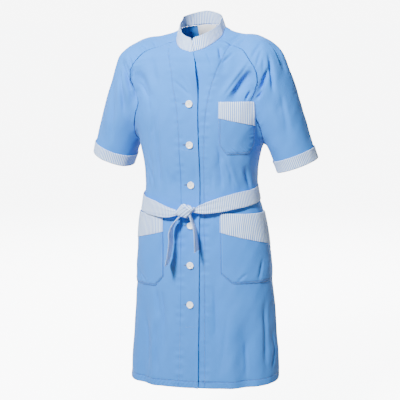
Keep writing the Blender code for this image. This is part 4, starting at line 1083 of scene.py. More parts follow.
def front(side, word):
    """A front from hem to armpit, and on it a patch up to the neck, sewn along its hem and facing."""
    across = spread(FRONT_COLUMNS, FRONT_WIDE)
    heights = lower_heights()
    edge, seam = edge_girth(side, heights), side_girth(heights)
    girth = edge[:, None] + (seam - edge)[:, None] * across
    lower = at_girth(girth, heights[:, None])
    lower[-1, -1] = ARMPIT
    neck_edge = neck_turn(side * float(edge_girth(side, NECK["z"][0])))
    top = neck_point(side * neck_edge + (FRONT_SEAM_TURN - side * neck_edge) * across)
    up = spread(UPPER_ROWS, UPPER_TALL, start=False)
    above = ARMPIT[2] + (top[0, 2] - ARMPIT[2]) * up
    left = at_girth(edge_girth(side, above), above)
    left[-1] = top[0]
    seam_run = seam_line(FRONT_SEAM, ARMPIT, neck_point(FRONT_SEAM_TURN), up)
    upper = settle(patch(lower[-1], top, left, seam_run, across, up))
    upper_girth = edge_girth(side, above)[:, None] + (upper[..., 0] - left[:, None, 0])
    base = mirrored(np.concatenate((lower, upper[1:])), side)
    girth = np.concatenate((girth, upper_girth[1:]))
    lift = front_lift(side, girth, base[..., 2])
    from_edge, from_seam = run_from(base, 1), run_from(base, 1, far=True)
    above_hem, below_neck = run_from(base, 0), run_from(base, 0, far=True)
    stitched = facing_line(base, side)
    facing = np.abs(base[..., 0] * side - stitched)
    lift = lift + rolled(from_edge, EDGE_ROLL) + sewn_border(from_seam, above_hem, 11 + side)
    lift = lift + rolled(below_neck, SEAM_ROLL) + hem_relief(above_hem, from_edge, 21 + side)
    lift = lift - FACING_GROOVE * hump(facing, 0, GROOVE_WIDE)
    beside = hump(facing, FACING_PUCKER_AT, FACING_PUCKER_REACH)
    lift = lift + FACING_PUCKER * puckers(above_hem, 25 + side) * beside
    points, normals = cloth(base, lift)
    marks = np.minimum(np.minimum(facing, np.abs(above_hem - HEM_UP)), from_seam + SEAM_SHADE)
    uv = np.stack((from_edge, above_hem), -1)
    panel(f"front_{word}", points, normals, uv, marks)
    from_line = np.abs(base[..., 0]) - stitched
    column = np.array([np.interp(0, line, np.arange(len(line))) for line in from_line])
    keep = (column < points.shape[1] - 4) & (above_hem[:, 0] > HEM_UP)
    line = on_grid(points, normals, np.arange(points.shape[0])[keep], column[keep])
    sewn(f"front_{word}", "blue_cloth", BLUE_THREAD, [hem_line(points, normals, above_hem), line])


def back():
    """The back, made as its left half and the half's mirror image."""
    across = spread(BACK_COLUMNS, BACK_WIDE)
    half = across[: len(across) // 2 + 1] * 2
    half[-1] = 1.0
    heights = lower_heights()
    seam, whole = side_girth(heights), ring_runs(heights)[:, -1]
    lower = at_girth(seam[:, None] + (whole - seam)[:, None] * half, heights[:, None])
    lower[-1, 0] = ARMPIT
    top = neck_point(BACK_SEAM_TURN + (179.999 - BACK_SEAM_TURN) * half)
    up = spread(UPPER_ROWS, UPPER_TALL, start=False)
    above = ARMPIT[2] + (top[-1, 2] - ARMPIT[2]) * up
    middle = at_girth(ring_runs(above)[:, -1], above)
    middle[-1] = top[-1]
    seam_run = seam_line(BACK_SEAM, ARMPIT, neck_point(BACK_SEAM_TURN), up)
    upper = settle(patch(lower[-1], top, seam_run, middle, half, up))
    grid = np.concatenate((lower, upper[1:]))
    grid[:, -1, 0] = 0
    base = np.concatenate((grid, mirrored(grid[:, -2::-1], -1)), axis=1)
    sides = (run_from(base, 1), run_from(base, 1, far=True))
    above_hem, below_neck = run_from(base, 0), run_from(base, 0, far=True)
    lift = rolled(below_neck, SEAM_ROLL) + hem_relief(above_hem, sides[0], 31)
    for i, away in enumerate(sides):
        lift = lift + sewn_border(away, above_hem, 33 + i)
    points, normals = cloth(base, lift)
    uv = np.stack((sides[0], above_hem), -1)
    marks = np.minimum(np.abs(above_hem - HEM_UP), np.minimum(*sides) + SEAM_SHADE)
    panel("back", points, normals, uv, marks)
    sewn("back", "blue_cloth", BLUE_THREAD, [hem_line(points, normals, above_hem)])


# ------------------------------------------------------------------ sleeves and cuffs
UNDERARM_REACH = float((ARMPIT - SHOULDER) @ ARM_LINE)
UNDERARM_TURN = math.atan2(-(ARMPIT - SHOULDER) @ ARM_BACKWARD, -(ARMPIT - SHOULDER) @ ARM_OUTWARD)
SLEEVE_ROUND = 0.40


def arm_point(around, reach):
    """The form's point round the left arm, from the underarm forwards, at a distance along it."""
    around, reach = np.broadcast_arrays(around, reach)
    across, deep = read(ARM, "across", reach), read(ARM, "deep", reach)
    centre = SHOULDER + reach[..., None] * ARM_LINE
    inward = (across * np.cos(around))[..., None] * ARM_OUTWARD
    forward = (deep * np.sin(around))[..., None] * ARM_BACKWARD
    return settle(centre - inward - forward)


def sleeve(side, word):
    """A tube up to the armpit, and on it a cap and a saddle up to the neck, in two patches."""
    shares = spread(SLEEVE_COLUMNS, SLEEVE_ROUND)
    half = len(shares) // 2
    shares[half] = 0.5
    reaches = np.linspace(ARM_LENGTH, UNDERARM_REACH, SLEEVE_ROWS + 1)
    tube = arm_point(UNDERARM_TURN + 2 * math.pi * shares, reaches[:, None])
    tube[-1, 0] = tube[-1, -1] = ARMPIT
    up = spread(UPPER_ROWS, UPPER_TALL, start=False)
    ridge = seam_line(SLEEVE_TOP, tube[-1, half], neck_point(SHOULDER_TURN), up)
    seams = [
        seam_line(table, ARMPIT, neck_point(turn), up)
        for table, turn in ((FRONT_SEAM, FRONT_SEAM_TURN), (BACK_SEAM, BACK_SEAM_TURN))
    ]
    first, second = shares[: half + 1] * 2, shares[half:] * 2 - 1
    front_neck = neck_point(FRONT_SEAM_TURN + (SHOULDER_TURN - FRONT_SEAM_TURN) * first)
    back_neck = neck_point(SHOULDER_TURN + (BACK_SEAM_TURN - SHOULDER_TURN) * second)
    front_cap = settle(patch(tube[-1, : half + 1], front_neck, seams[0], ridge, first, up))
    back_cap = settle(patch(tube[-1, half:], back_neck, ridge, seams[1], second, up))
    cap = np.concatenate((front_cap, back_cap[:, 1:]), axis=1)
    base = mirrored(np.concatenate((tube, cap[1:])), side)
    borders = (run_from(base, 1), run_from(base, 1, far=True))
    along, below_neck = run_from(base, 0), run_from(base, 0, far=True)
    lift = rolled(below_neck, SEAM_ROLL)
    for i, away in enumerate(borders):
        lift = lift + sewn_border(away, along, 41 + 2 * i + side)
    points, normals = cloth(base, lift)
    same = np.arange(points.shape[0] * points.shape[1]).reshape(points.shape[:2])
    same[: SLEEVE_ROWS + 1, -1] = same[: SLEEVE_ROWS + 1, 0]
    uv = np.stack((borders[0], along), -1)
    on_cap = np.arange(points.shape[0])[:, None] > SLEEVE_ROWS
    marks = np.where(on_cap, np.minimum(*borders) + SEAM_SHADE, 1.0)
    panel(f"sleeve_{word}", points, normals, uv, marks, same=same.ravel())


# Through a turned-back cuff, from its inner edge round the fold to its outer one: how far past the
# sleeve's end, and how far out of the cloth's face.
CUFF_SECTION = (
    (-0.0180, -0.0022),
    (-0.0040, -0.0024),
    (-0.0008, -0.0019),
    (0.0007, -0.0006),
    (0.0010, 0.0008),
    (0.0003, 0.0022),
    (-0.0020, 0.0030),
    (-0.0180, 0.0030),
    (-0.0310, 0.0034),
    (-0.0336, 0.0033),
    (-0.0342, 0.0026),
    (-0.0338, 0.0016),
)
CUFF_ROWS, CUFF_COLUMNS = 44, 168
CUFF_FOLD = 4  # the row of the section at its fold
CUFF_STITCHES = 0.0040  # from its outer edge
CUFF_RIPPLE, CUFF_HELD = 0.0007, 0.45  # how far its outer part ripples, and the share that is held still


def cuff(side, word):
    """The cuff's section, carried round the arm."""
    section = np.array(CUFF_SECTION)
    steps = np.r_[0, np.cumsum(np.linalg.norm(np.diff(section, axis=0), axis=1))]
    run = np.linspace(0, steps[-1], CUFF_ROWS)
    past, out = (np.interp(run, steps, column)[:, None] for column in section.T)
    turns = UNDERARM_TURN + np.linspace(0, 2 * math.pi, CUFF_COLUMNS + 1)
    base = mirrored(arm_point(turns, ARM_LENGTH + past), side)
    around = run_from(base, 1)
    free = ease((run / steps[-1] - CUFF_HELD) / (1 - CUFF_HELD))[:, None]
    points, normals = cloth(base, out + CUFF_RIPPLE * puckers(around * 0.8, 51 + side) * free)
    facing = normals * np.where(run[:, None, None] < steps[CUFF_FOLD], -1, 1)
    stitched = steps[-1] - CUFF_STITCHES
    uv = np.stack(np.broadcast_arrays(around[-1], run[:, None]), -1)
    trim(f"cuff_{word}", points, facing, uv, np.abs(stitched - run)[:, None], joined=True)
    row = np.interp(stitched, run, np.arange(len(run)))
    line = on_grid(points, normals, row, np.arange(points.shape[1]))
    sewn(f"cuff_{word}", "striped_cloth", WHITE_THREAD, [line])


# ------------------------------------------------------------------ collar
COLLAR_END, COLLAR_SHEAR, COLLAR_SHEAR_FADE, COLLAR_ROUND = 0.3, -9.0, 45.0, 0.009
COLLAR_RADIUS, COLLAR_CROWDING = 0.080, 1.25
COLLAR_COLUMNS, COLLAR_ROWS = 190, 18
COLLAR_LAYERS = 0.0017  # from its outer cloth to its inner
COLLAR_DIPS = ((104, 40, 0.009), (244, 28, 0.005))  # where its top sags: angle, reach and depth
COLLAR_FOOT = -0.03  # share of its height that is tucked into the neck seam
COLLAR_CRINKLE, COLLAR_PINCH, COLLAR_PINCHED = 0.0007, 0.15, 0.004
COLLAR_STITCHES = 0.0028  # below its top
SEAM_GAP = 0.0004


def radial_from(points, centre):
    """Level unit directions from an upright line through centre."""
    radial = (points - centre) * (1, 1, 0)
    return radial / np.linalg.norm(radial, axis=-1, keepdims=True)


def collar():
    """Two layers with a fold between them at the top, pinched together at the ends."""
    meet = neck_turn(float(read(FRONT_EDGE, "over", NECK["z"][0])) - SEAM_GAP / 2)
    share = np.linspace(-1, 1, COLLAR_COLUMNS + 1)
    share = np.sign(share) * (1 - (1 - np.abs(share)) ** COLLAR_CROWDING)
    turn = meet + 180 + share * (180 - COLLAR_END)
    centre = neck_point(turn).mean(axis=0) * (0, 1, 0)
    from_end = (1 - np.abs(share)) * math.pi * COLLAR_RADIUS
    curve = np.clip(1 - from_end / COLLAR_ROUND, 0, 1)
    tall = COLLAR_TALL - COLLAR_ROUND * (1 - np.sqrt(1 - curve**2))
    for at, reach, deep in COLLAR_DIPS:
        tall = tall - deep * hump(turn, at, reach)
    from_front = 180 - np.abs(turn - 180)
    shear = COLLAR_SHEAR * (1 - ease(from_front / COLLAR_SHEAR_FADE))
    rise = 1 - (1 - np.linspace(0, 1, COLLAR_ROWS)) ** 1.5
    grid = []
    for up in COLLAR_FOOT + (1 - COLLAR_FOOT) * rise:
        row = neck_point(turn + shear * up)
        row -= radial_from(row, centre) * COLLAR_LEAN * up
        row[:, 2] += 1.5 * SEAM_GAP + up * tall
        grid.append(row)
    grid = np.array(grid)
    radial = radial_from(grid, centre)
    around = np.broadcast_to(run_from(grid, 1)[0], grid.shape[:2])
    slant = around + 0.2 * rise[:, None] * tall
    crinkle = COLLAR_CRINKLE * puckers(slant, 61) * np.sin(math.pi * rise)[:, None]
    grid = grid + radial * crinkle[..., None]
    pinch = ease(from_end / COLLAR_PINCHED) * (1 - COLLAR_PINCH) + COLLAR_PINCH
    near_top = np.clip((1 - rise)[:, None] * tall / (COLLAR_LAYERS / 2), 0, 1)
    round_over = np.sqrt(1 - (1 - near_top) ** 2)
    half = COLLAR_LAYERS / 2 * pinch * round_over
    middle = grid - radial * (COLLAR_LAYERS / 2)
    outer, inner = middle + radial * half[..., None], middle - radial * half[..., None]
    points = hang(np.concatenate((outer, inner[-2::-1])))
    normals = np.concatenate((radial, -radial[-2::-1]))
    height = run_from(outer, 0)
    along = np.concatenate((height, 2 * height[[-1]] - height[-2::-1]))
    from_line = np.abs(height - height[[-1]] + COLLAR_STITCHES)
    marks = np.concatenate((from_line, np.ones(height[1:].shape)))
    uv = np.stack((np.concatenate((around, around[1:])), along), -1)
    trim("collar", points, normals, uv, marks)
    row = row_at(height, height[-1].mean() - COLLAR_STITCHES)
    columns = np.arange(3, points.shape[1] - 3)
    line = on_grid(points, normals, row[columns], columns)
    sewn("collar", "striped_cloth", WHITE_THREAD, [line])


# ------------------------------------------------------------------ pockets
CHEST_POCKET = dict(start=0.084, width=0.104, about=0.104, top=-0.200, foot=-0.344, corner=(0.020, 0.026))
CHEST_BAND = dict(inner=0.044, outer=0.066)
HIP_POCKET = dict(start=0.083, width=None, about=0.180, top=-0.506, foot=-0.706, corner=(0.030, 0.030))
HIP_BANDS = {-1: dict(inner=0.045, outer=0.092), 1: dict(inner=0.054, outer=0.106)}
HIP_DROPS, SIDE_CLEAR = {-1: (0.011, 0.011), 1: (0.0, 0.011)}, 0.004
POCKET_BELLY, POCKET_GAP, BAND_GAP = 0.0025, 0.0012, 0.0012
NO_CORNER = (1.0, 0.0)
POCKET_COLUMNS, POCKET_ROWS, BAND_ROWS = 52, 60, 26
POCKET_PROUD = POCKET_GAP + WALL
SEWN_DOWN, HELD_PROUD = 0.0050, 0.0010  # width over which a pocket comes down, and what it keeps
SIDE_ROLL, FOOT_ROLL = 0.0010, 0.0012
EDGE_STITCHES, INNER_STITCHES = 0.0016, 0.0066
INNER_GROOVE, INNER_WIDE = 0.0006, 0.0016
# Its puckers, inside the inner stitches and between the two lines: height, distance and reach
POCKET_PUCKER, POCKET_PUCKER_AT, POCKET_PUCKER_REACH = 0.0020, 0.013, 0.008
EDGE_PUCKER, EDGE_PUCKER_AT, EDGE_PUCKER_REACH = 0.0008, 0.004, 0.002
BAND_RIPPLE = 0.0006


def pocket_place(side, pocket, corner, drop, across, down):
    """(points, lift) of the form under a patch pocket; down runs from 0 at its mouth to 1 at its foot.

    drop is how far the pocket lies below its sizes, at its inner side and at its outer one."""
    lower = drop[0] + (drop[1] - drop[0]) * across
    top, foot = pocket["top"] - lower, pocket["foot"] - lower
    level = top + (foot - top) * down
    reach = pocket["width"] or side_girth(level) - SIDE_CLEAR - pocket["start"]
    from_side = np.minimum(across, 1 - across) * np.mean(reach)
    cut_wide, cut_tall = corner
    rise = cut_tall * np.clip(1 - from_side / cut_wide, 0, 1)
    height = top + (foot + rise - top) * down
    girth = pocket["start"] + across * reach
    return mirrored(at_girth(girth, height), side), front_lift(side, girth, height)


def pocket_columns(pocket):
    """Shares of a pocket's width, with one at each cut corner and closer ones at its sides."""
    shares = spread(POCKET_COLUMNS, pocket["about"])
    for cut in (pocket["corner"][0] / pocket["about"], 1 - pocket["corner"][0] / pocket["about"]):
        shares[np.argmin(np.abs(shares - cut))] = cut
    return shares[None, :]


def pocket_belly(across, down):
    return POCKET_BELLY * np.sin(math.pi * across) * np.cos(math.pi / 2 * down)


def patch_pocket(side, name, pocket, drop=(0.0, 0.0), seed=0):
    """A pocket with cut corners, sewn down twice along its sides and foot."""
    down = spread(POCKET_ROWS, pocket["top"] - pocket["foot"])[:, None]
    across, down = np.broadcast_arrays(pocket_columns(pocket), down)
    base, lift = pocket_place(side, pocket, pocket["corner"], drop, across, down)
    from_top = run_from(base, 0)
    sides = (run_from(base, 1), run_from(base, 1, far=True), run_from(base, 0, far=True))
    nearest = np.minimum(np.minimum(sides[0], sides[1]), sides[2])
    held = 1 - ease(nearest / SEWN_DOWN)
    lift = lift + POCKET_PROUD + pocket_belly(across, down) - (POCKET_PROUD - HELD_PROUD) * held
    lift = lift + rolled(nearest, SIDE_ROLL) + rolled(from_top, ROLL)
    lift = lift - INNER_GROOVE * hump(nearest, INNER_STITCHES, INNER_WIDE) * ease(from_top / 0.01)
    round_run = sides[0] - sides[1] + 2 * sides[2]
    inside = hump(nearest, POCKET_PUCKER_AT, POCKET_PUCKER_REACH)
    lift = lift + POCKET_PUCKER * puckers(round_run * 0.8, seed) * inside
    between = hump(nearest, EDGE_PUCKER_AT, EDGE_PUCKER_REACH)
    lift = lift + EDGE_PUCKER * puckers(round_run * 1.6, seed + 1) * between
    points, normals = cloth(base, lift)
    marks = np.minimum(np.abs(nearest - EDGE_STITCHES), np.abs(nearest - INNER_STITCHES))
    panel(name, points, normals, np.stack((sides[0], sides[2]), -1), marks)
    lines = [pocket_line(points, normals, sides, inset) for inset in (EDGE_STITCHES, INNER_STITCHES)]
    sewn(name, "blue_cloth", BLUE_THREAD, lines)


def pocket_line(points, normals, sides, inset):
    """The line of stitches down one side of a pocket, across its foot and up the other side."""
    left, right = column_at(sides[0], inset), column_at(sides[1], inset)
    foot = row_at(sides[2], inset)
    rows_down = np.arange(points.shape[0])
    first, last = float(left[-1]), float(right[-1])
    on_left = rows_down < foot[int(first) + 1]
    on_right = rows_down < foot[int(last)]
    across = np.arange(points.shape[1])
    across = across[(across > first) & (across < last)]
    row = np.r_[rows_down[on_left], foot[across], rows_down[on_right][::-1]]
    column = np.r_[left[on_left], across, right[on_right][::-1]]
    return on_grid(points, normals, row, column)


def pocket_band(side, name, pocket, band, drop=(0.0, 0.0), seed=0):
    """The striped band over a pocket's mouth, deeper towards the side."""
    across = pocket_columns(pocket)
    deep = band["inner"] + (band["outer"] - band["inner"]) * across
    down = spread(BAND_ROWS, band["inner"])[:, None] * deep / (pocket["top"] - pocket["foot"])
    across = np.broadcast_to(across, down.shape)
    base, lift = pocket_place(side, pocket, NO_CORNER, drop, across, down)
    sides = (run_from(base, 1), run_from(base, 1, far=True))
    from_top, from_foot = run_from(base, 0), run_from(base, 0, far=True)
    nearest = np.minimum(*sides)
    lift = lift + POCKET_PROUD + BAND_GAP + pocket_belly(across, down)
    lift = lift - (POCKET_PROUD - HELD_PROUD) * (1 - ease(nearest / SEWN_DOWN))
    lift = lift + rolled(nearest, SIDE_ROLL) + rolled(from_top, ROLL) + rolled(from_foot, FOOT_ROLL)
    lift = lift + BAND_RIPPLE * puckers(sides[0], seed) * ease(nearest / 0.02)
    points, normals = cloth(base, lift)
    marks = np.minimum(np.abs(from_foot - EDGE_STITCHES), np.abs(nearest - EDGE_STITCHES))
    uv = np.stack((np.broadcast_to(sides[0][[0]], from_foot.shape), from_foot), -1)
    trim(name, points, normals, uv, marks)
    row = row_at(from_foot, EDGE_STITCHES)
    columns = np.arange(2, points.shape[1] - 2)
    line = on_grid(points, normals, row[columns], columns)
    sewn(name, "striped_cloth", WHITE_THREAD, [line])


# ------------------------------------------------------------------ label
LABEL_WIDE, LABEL_TALL = 0.058, 0.033
LABEL_TURNS, LABEL_DOWN, LABEL_DROP = (140, 220), np.array((0, 0.018, -0.033)), 0.0012
LABEL_BEHIND, LABEL_HEM, LABEL_CLOTH = -0.0026, 0.005, 0.0005
LABEL_HEM_STEP, LABEL_SAG = 0.0003, 0.0006
LABEL_COLUMNS, LABEL_ROWS = 40, 24
LABEL_INSET, LABEL_TOP_INSET = 1.6, 1.4  # cells from its borders to its stitches


def neck_label():
    """The bare label, hemmed at each side, sewn along its top and lying on the back's inner face."""
    x = np.linspace(-LABEL_WIDE / 2, LABEL_WIDE / 2, LABEL_COLUMNS + 1)
    turns = np.linspace(*LABEL_TURNS, 161)
    top = neck_point(np.interp(x, neck_point(turns)[::-1, 0], turns[::-1]))
    down = np.linspace(0, 1, LABEL_ROWS + 1)[:, None]
    base = settle(top[None] + LABEL_DOWN * down[..., None] - (0, 0, LABEL_DROP))
    hem = 1 - ease((LABEL_WIDE / 2 - np.abs(x)) / LABEL_HEM - 0.6)
    sag = LABEL_SAG * np.sin(2 * math.pi * x / LABEL_WIDE * 1.3 + 0.6) * down
    points, normals = cloth(base, LABEL_BEHIND - LABEL_HEM_STEP * hem + sag)
    uv = np.stack(np.broadcast_arrays(x, down * LABEL_TALL), -1)
    piece = mapped_mesh("neck_label_cloth", points, -normals, uv, LABEL_CLOTH_FINISH)
    thickened(piece, LABEL_CLOTH)
    finished(piece, "label_cloth", "neck_label")
    across, along = np.arange(2, LABEL_COLUMNS - 1), np.arange(2, LABEL_ROWS - 1)
    places = (
        (np.full(across.shape, LABEL_TOP_INSET), across),
        (along, np.full(along.shape, LABEL_INSET)),
        (along, np.full(along.shape, LABEL_COLUMNS - LABEL_INSET)),
    )
    lines = [on_grid(points, -normals, row, column) for row, column in places]
    sewn("neck_label", "label_cloth", WHITE_THREAD, lines, long=0.0020, pitch=0.0026)


# ------------------------------------------------------------------ buttons and buttonholes
BUTTON_SECTION = rows(
    "out up",
    (0.00, 0.56),
    (0.30, 0.56),
    (0.52, 0.58),
    (0.62, 0.66),
    (0.70, 0.86),
    (0.78, 0.99),
    (0.86, 1.00),
    (0.94, 0.90),
    (0.99, 0.68),
    (1.00, 0.50),
    (0.97, 0.22),
    (0.90, 0.06),
    (0.80, 0.00),
    (0.00, 0.00),
)
BUTTON_STEPS, HOLE_STEPS = 48, 16
HOLE_OUT, HOLE_RADIUS = 0.0024, 0.00085
BUTTON_TWISTS = (12, -20, 35, 5, -8, 28)  # degrees
THREAD_RADIUS, THREAD_STRANDS, THREAD_FOOT, THREAD_ARCH = 0.00034, 3, 0.40, 0.0013
HOLE_LONG, HOLE_WIDE, HOLE_SHARE = 0.022, 0.0030, 0.92  # stitched to this share of its length
HOLE_STARTS = 0.0015  # girth from the button's middle to the near end of its hole
SLIT_WIDE, SLIT_SHARE, SLIT_ROUND, SLIT_PROUD, SLIT_WALL = 0.0014, 0.90, 0.98, 0.00012, 0.0002


def turned_button():
    """A button with a raised rim, a sunk middle and four holes, as a mesh with its back at the origin."""
    shape = bmesh.new()
    section = [
        shape.verts.new((out * BUTTON_ACROSS / 2, 0, up * BUTTON_DEEP))
        for out, up in zip(*BUTTON_SECTION.values())
    ]
    edges = [shape.edges.new(pair) for pair in zip(section, section[1:])]
    bmesh.ops.spin(
        shape, geom=section + edges, cent=(0, 0, 0), axis=(0, 0, 1), angle=2 * math.pi, steps=BUTTON_STEPS
    )
    bmesh.ops.remove_doubles(shape, verts=shape.verts, dist=1e-6)
    whole = linked("button", put_back(shape, bpy.data.meshes.new("button")))
    drills = bmesh.new()
    for quarter in range(4):
        angle = math.pi / 4 + quarter * math.pi / 2
        spot = Matrix.Translation((HOLE_OUT * math.cos(angle), HOLE_OUT * math.sin(angle), 0))
        bmesh.ops.create_cone(
            drills,
            cap_ends=True,
            segments=HOLE_STEPS,
            radius1=HOLE_RADIUS,
            radius2=HOLE_RADIUS,
            depth=4 * BUTTON_DEEP,
            matrix=spot,
        )
    drill = linked("holes", put_back(drills, bpy.data.meshes.new("holes")))
    cut = whole.modifiers.new("holes", "BOOLEAN")
    cut.object, cut.solver = drill, "EXACT"
    made = baked(whole)
    for helper in (whole, drill):
        bpy.data.objects.remove(helper, do_unlink=True)
    made.materials.clear()
    made.materials.append(BUTTON_FINISH)
    made.shade_smooth()
    made.set_sharp_from_angle(angle=math.radians(40))
    return made


def strands():
    """The thread through the four holes: two bars of three strands each."""
    shape = bmesh.new()
    reach = HOLE_OUT * math.sqrt(0.5)
    arc = np.linspace(0, math.pi, 9)
    x, z = reach * np.cos(arc), BUTTON_DEEP * THREAD_FOOT + THREAD_ARCH * np.sin(arc)
    round_strand = np.linspace(0, 2 * math.pi, 7)[:-1]
    for bar, strand in itertools.product((-1, 1), range(THREAD_STRANDS)):
        aside = bar * reach + (strand - 1) * THREAD_RADIUS * 1.1
        rings = []
        for px, pz, a in zip(x, z, arc):
            out = THREAD_RADIUS * np.cos(round_strand)
            over = aside + THREAD_RADIUS * np.sin(round_strand)
            spots = zip(px + out * math.cos(a), over, pz + out * math.sin(a))
            rings.append([shape.verts.new(spot) for spot in spots])
        for low, high in zip(rings, rings[1:]):
            for i in range(len(low)):
                shape.faces.new((low[i], low[i - 1], high[i - 1], high[i]))
        for ring in (rings[0], rings[-1]):
            shape.faces.new(ring)
    mesh = put_back(shape, bpy.data.meshes.new("button_thread"))
    mesh.materials.append(WHITE_THREAD)
    return mesh


def placed(name, mesh, place):
    mesh = mesh.copy()
    mesh.transform(place)
    return linked(name, mesh)


def on_over_front(number, aside, up=0.0):
    """(point, outward) of the over front at a button's height, a girth aside of its line."""
    height = FIRST_BUTTON - number * BUTTON_PITCH + np.asarray(up, float)
    girth = BUTTON_LINE + np.asarray(aside, float)
    girth, height = np.broadcast_arrays(girth, height)
    lift = front_lift(-1, -girth, height)
    return cloth(at_girth(girth, height), lift)


def button(number, body, loops):
    points, normals = on_over_front(number, np.zeros(1))
    facing = Vector(normals[0]).to_track_quat("Z", "Y").to_matrix().to_4x4()
    place = Matrix.Translation(points[0] + normals[0] * BUTTON_GAP) @ facing
    twist = Matrix.Rotation(math.radians(BUTTON_TWISTS[number]), 4, "Z")
    piece = placed(f"button_{number + 1}_turned", body, place @ twist)
    finished(piece, "button_plastic", f"button_{number + 1}")
    finished(placed(f"button_{number + 1}_thread", loops, place @ twist), "label_cloth")


def buttonholes():
    """Each hole a satin-stitched oval round a slit of painted shade, a thin dark sheet, running to the
    wearer's right of its button.
    """
    middle = HOLE_STARTS - HOLE_LONG / 2
    t = np.linspace(0, 2 * math.pi, 61)
    squared = np.sign(np.sin(t)) * np.abs(np.sin(t)) ** 0.5
    aside = middle + HOLE_LONG / 2 * np.cos(t) * HOLE_SHARE
    lines = [on_over_front(number, aside, HOLE_WIDE / 2 * squared) for number in range(BUTTON_COUNT)]
    satin = dict(pitch=SATIN_PITCH, long=SATIN_LONG, wide=SATIN_WIDE, turn=math.pi / 2)
    sewn("buttonhole", "blue_cloth", HOLE_THREAD, lines, **satin)
    across, along = np.linspace(-1, 1, 4)[:, None], np.linspace(-1, 1, 25)[None, :]
    width = SLIT_WIDE * np.sqrt(1 - SLIT_ROUND * along**2)
    # Each slit is a thin dark sheet of painted shade, laid just proud of the cloth.
    for number in range(BUTTON_COUNT):
        aside = middle + along * HOLE_LONG / 2 * SLIT_SHARE
        points, normals = on_over_front(number, aside, width * across)
        points = points + normals * SLIT_PROUD
        piece = mapped_mesh(f"buttonhole_{number + 1}_slit", points, normals, metres(points), SLIT_SHADE_FINISH)
        thickened(piece, SLIT_WALL)
        finished(piece, "blue_cloth")


# ------------------------------------------------------------------ belt
BELT = rows(
    "turn height stand width",
    (-4.0, -0.4990, 0.0140, 0.008),
    (5.0, -0.4965, 0.0140, 0.014),
    (12.0, -0.4920, 0.0135, 0.028),
    (22.0, -0.4850, 0.0120, 0.037),
    (41.0, -0.4735, 0.0095, 0.043),
    (70.0, -0.4650, 0.0045, 0.043),
    (103.0, -0.4600, 0.0012, 0.042),
    (140.0, -0.4570, 0.0012, 0.042),
    (180.0, -0.4580, 0.0012, 0.042),
    (220.0, -0.4650, 0.0012, 0.042),
    (258.0, -0.4800, 0.0012, 0.042),
    (278.0, -0.4860, 0.0016, 0.043),
    (300.0, -0.4930, 0.0045, 0.043),
    (325.0, -0.4990, 0.0090, 0.040),
    (338.0, -0.5040, 0.0125, 0.032),
    (345.0, -0.5055, 0.0135, 0.024),
    (349.0, -0.5050, 0.0140, 0.018),
    (364.0, -0.5040, 0.0140, 0.022),
)
BELT_START, BELT_END, BELT_WALL = 4.25, 349.8, 0.0022
BELT_COLUMNS, BELT_ROUND = 420, 36
BELT_STITCHES = 0.86  # share of the half width at which an edge is stitched
BELT_HALF = 0.021  # half its width, for its map
BELT_GATHER, BELT_PLEAT, BELT_WAVE = 45, 0.0012, 0.0005  # gathered over these degrees from the knot


def flat_tube(name, middle, wide, out, width, crease):
    """A band of two layers round a middle line: wide is its way across and out its way outwards.

    crease gives how far its outer face is raised, for shares of the half width and lengths along."""
    turn = np.linspace(0, 2 * math.pi, BELT_ROUND + 1)[:, None]
    share = np.sign(np.cos(turn)) * np.abs(np.cos(turn)) ** 0.62
    thick = np.sign(np.sin(turn)) * np.abs(np.sin(turn)) ** 0.5 * BELT_WALL / 2
    run = np.r_[0, np.cumsum(np.linalg.norm(np.diff(middle, axis=0), axis=1))][None, :]
    raised = crease(share, run) * (1 - np.abs(share) ** 6)
    points = middle[None] + wide[None] * (share * width / 2)[..., None]
    points = points + out[None] * (thick + raised)[..., None]
    facing = wide[None] * np.cos(turn)[..., None] + out[None] * np.sin(turn)[..., None]
    marks = np.abs(np.abs(share) - BELT_STITCHES) * width / 2
    uv = np.stack(np.broadcast_arrays(run, share * BELT_HALF), -1)
    # Rows run round the section, so the ring closes from the last row to the first.
    turned = [np.swapaxes(values, 0, 1) for values in (points, facing, uv)]
    piece = mapped_mesh(f"{name}_cloth", *turned, STRIPED_CLOTH, {SEWN: marks.T}, joined=True)
    shape = bmesh.new()
    shape.from_mesh(piece.data)
    bmesh.ops.holes_fill(shape, edges=[edge for edge in shape.edges if edge.is_boundary], sides=0)
    put_back(shape, piece.data)
    finished(piece, "striped_cloth", name)
    lines = []
    for share in (-BELT_STITCHES, BELT_STITCHES):
        rise = BELT_WALL / 2 + crease(np.full((1, 1), share), run)[0] * (1 - BELT_STITCHES**6)
        lines.append((middle + wide * (share * width / 2)[:, None] + out * rise[:, None], out))
    sewn(name, "striped_cloth", WHITE_THREAD, lines)


def belt():
    """The stretch round the waist, gathered towards the knot at both ends."""
    turns = np.linspace(BELT_START, BELT_END, BELT_COLUMNS + 1)
    height, width = read(BELT, "height", turns), read(BELT, "width", turns)
    stand = read(BELT, "stand", turns)
    from_knot = np.minimum(turns - BELT_START, BELT_END - turns)
    gathered = 1 - ease(from_knot / BELT_GATHER)

    def edge_line(share):
        base = settle(trunk_point(np.radians(turns), height + share * width / 2))
        out = outward(base) * (1, 1, 0)
        out /= np.linalg.norm(out, axis=-1, keepdims=True)
        return hang(base + out * (stand + BELT_WALL / 2)[:, None]), out

    (low, _), (middle, out), (high, _) = (edge_line(share) for share in (-1, 0, 1))
    wide = high - low
    width = np.linalg.norm(wide, axis=1)
    wide = wide / width[:, None]
    out = out - wide * (out * wide).sum(-1, keepdims=True)
    out /= np.linalg.norm(out, axis=-1, keepdims=True)

    def crease(share, run):
        pleats = np.sin(share * 7.5 + 2.2 * np.sin(run / 0.05)) * BELT_PLEAT * gathered
        waves_along = BELT_WAVE * puckers(run * 0.45 + share * 0.006, 71)
        return pleats + waves_along * (1 - gathered)

    flat_tube("belt", middle, wide, out, width, crease)


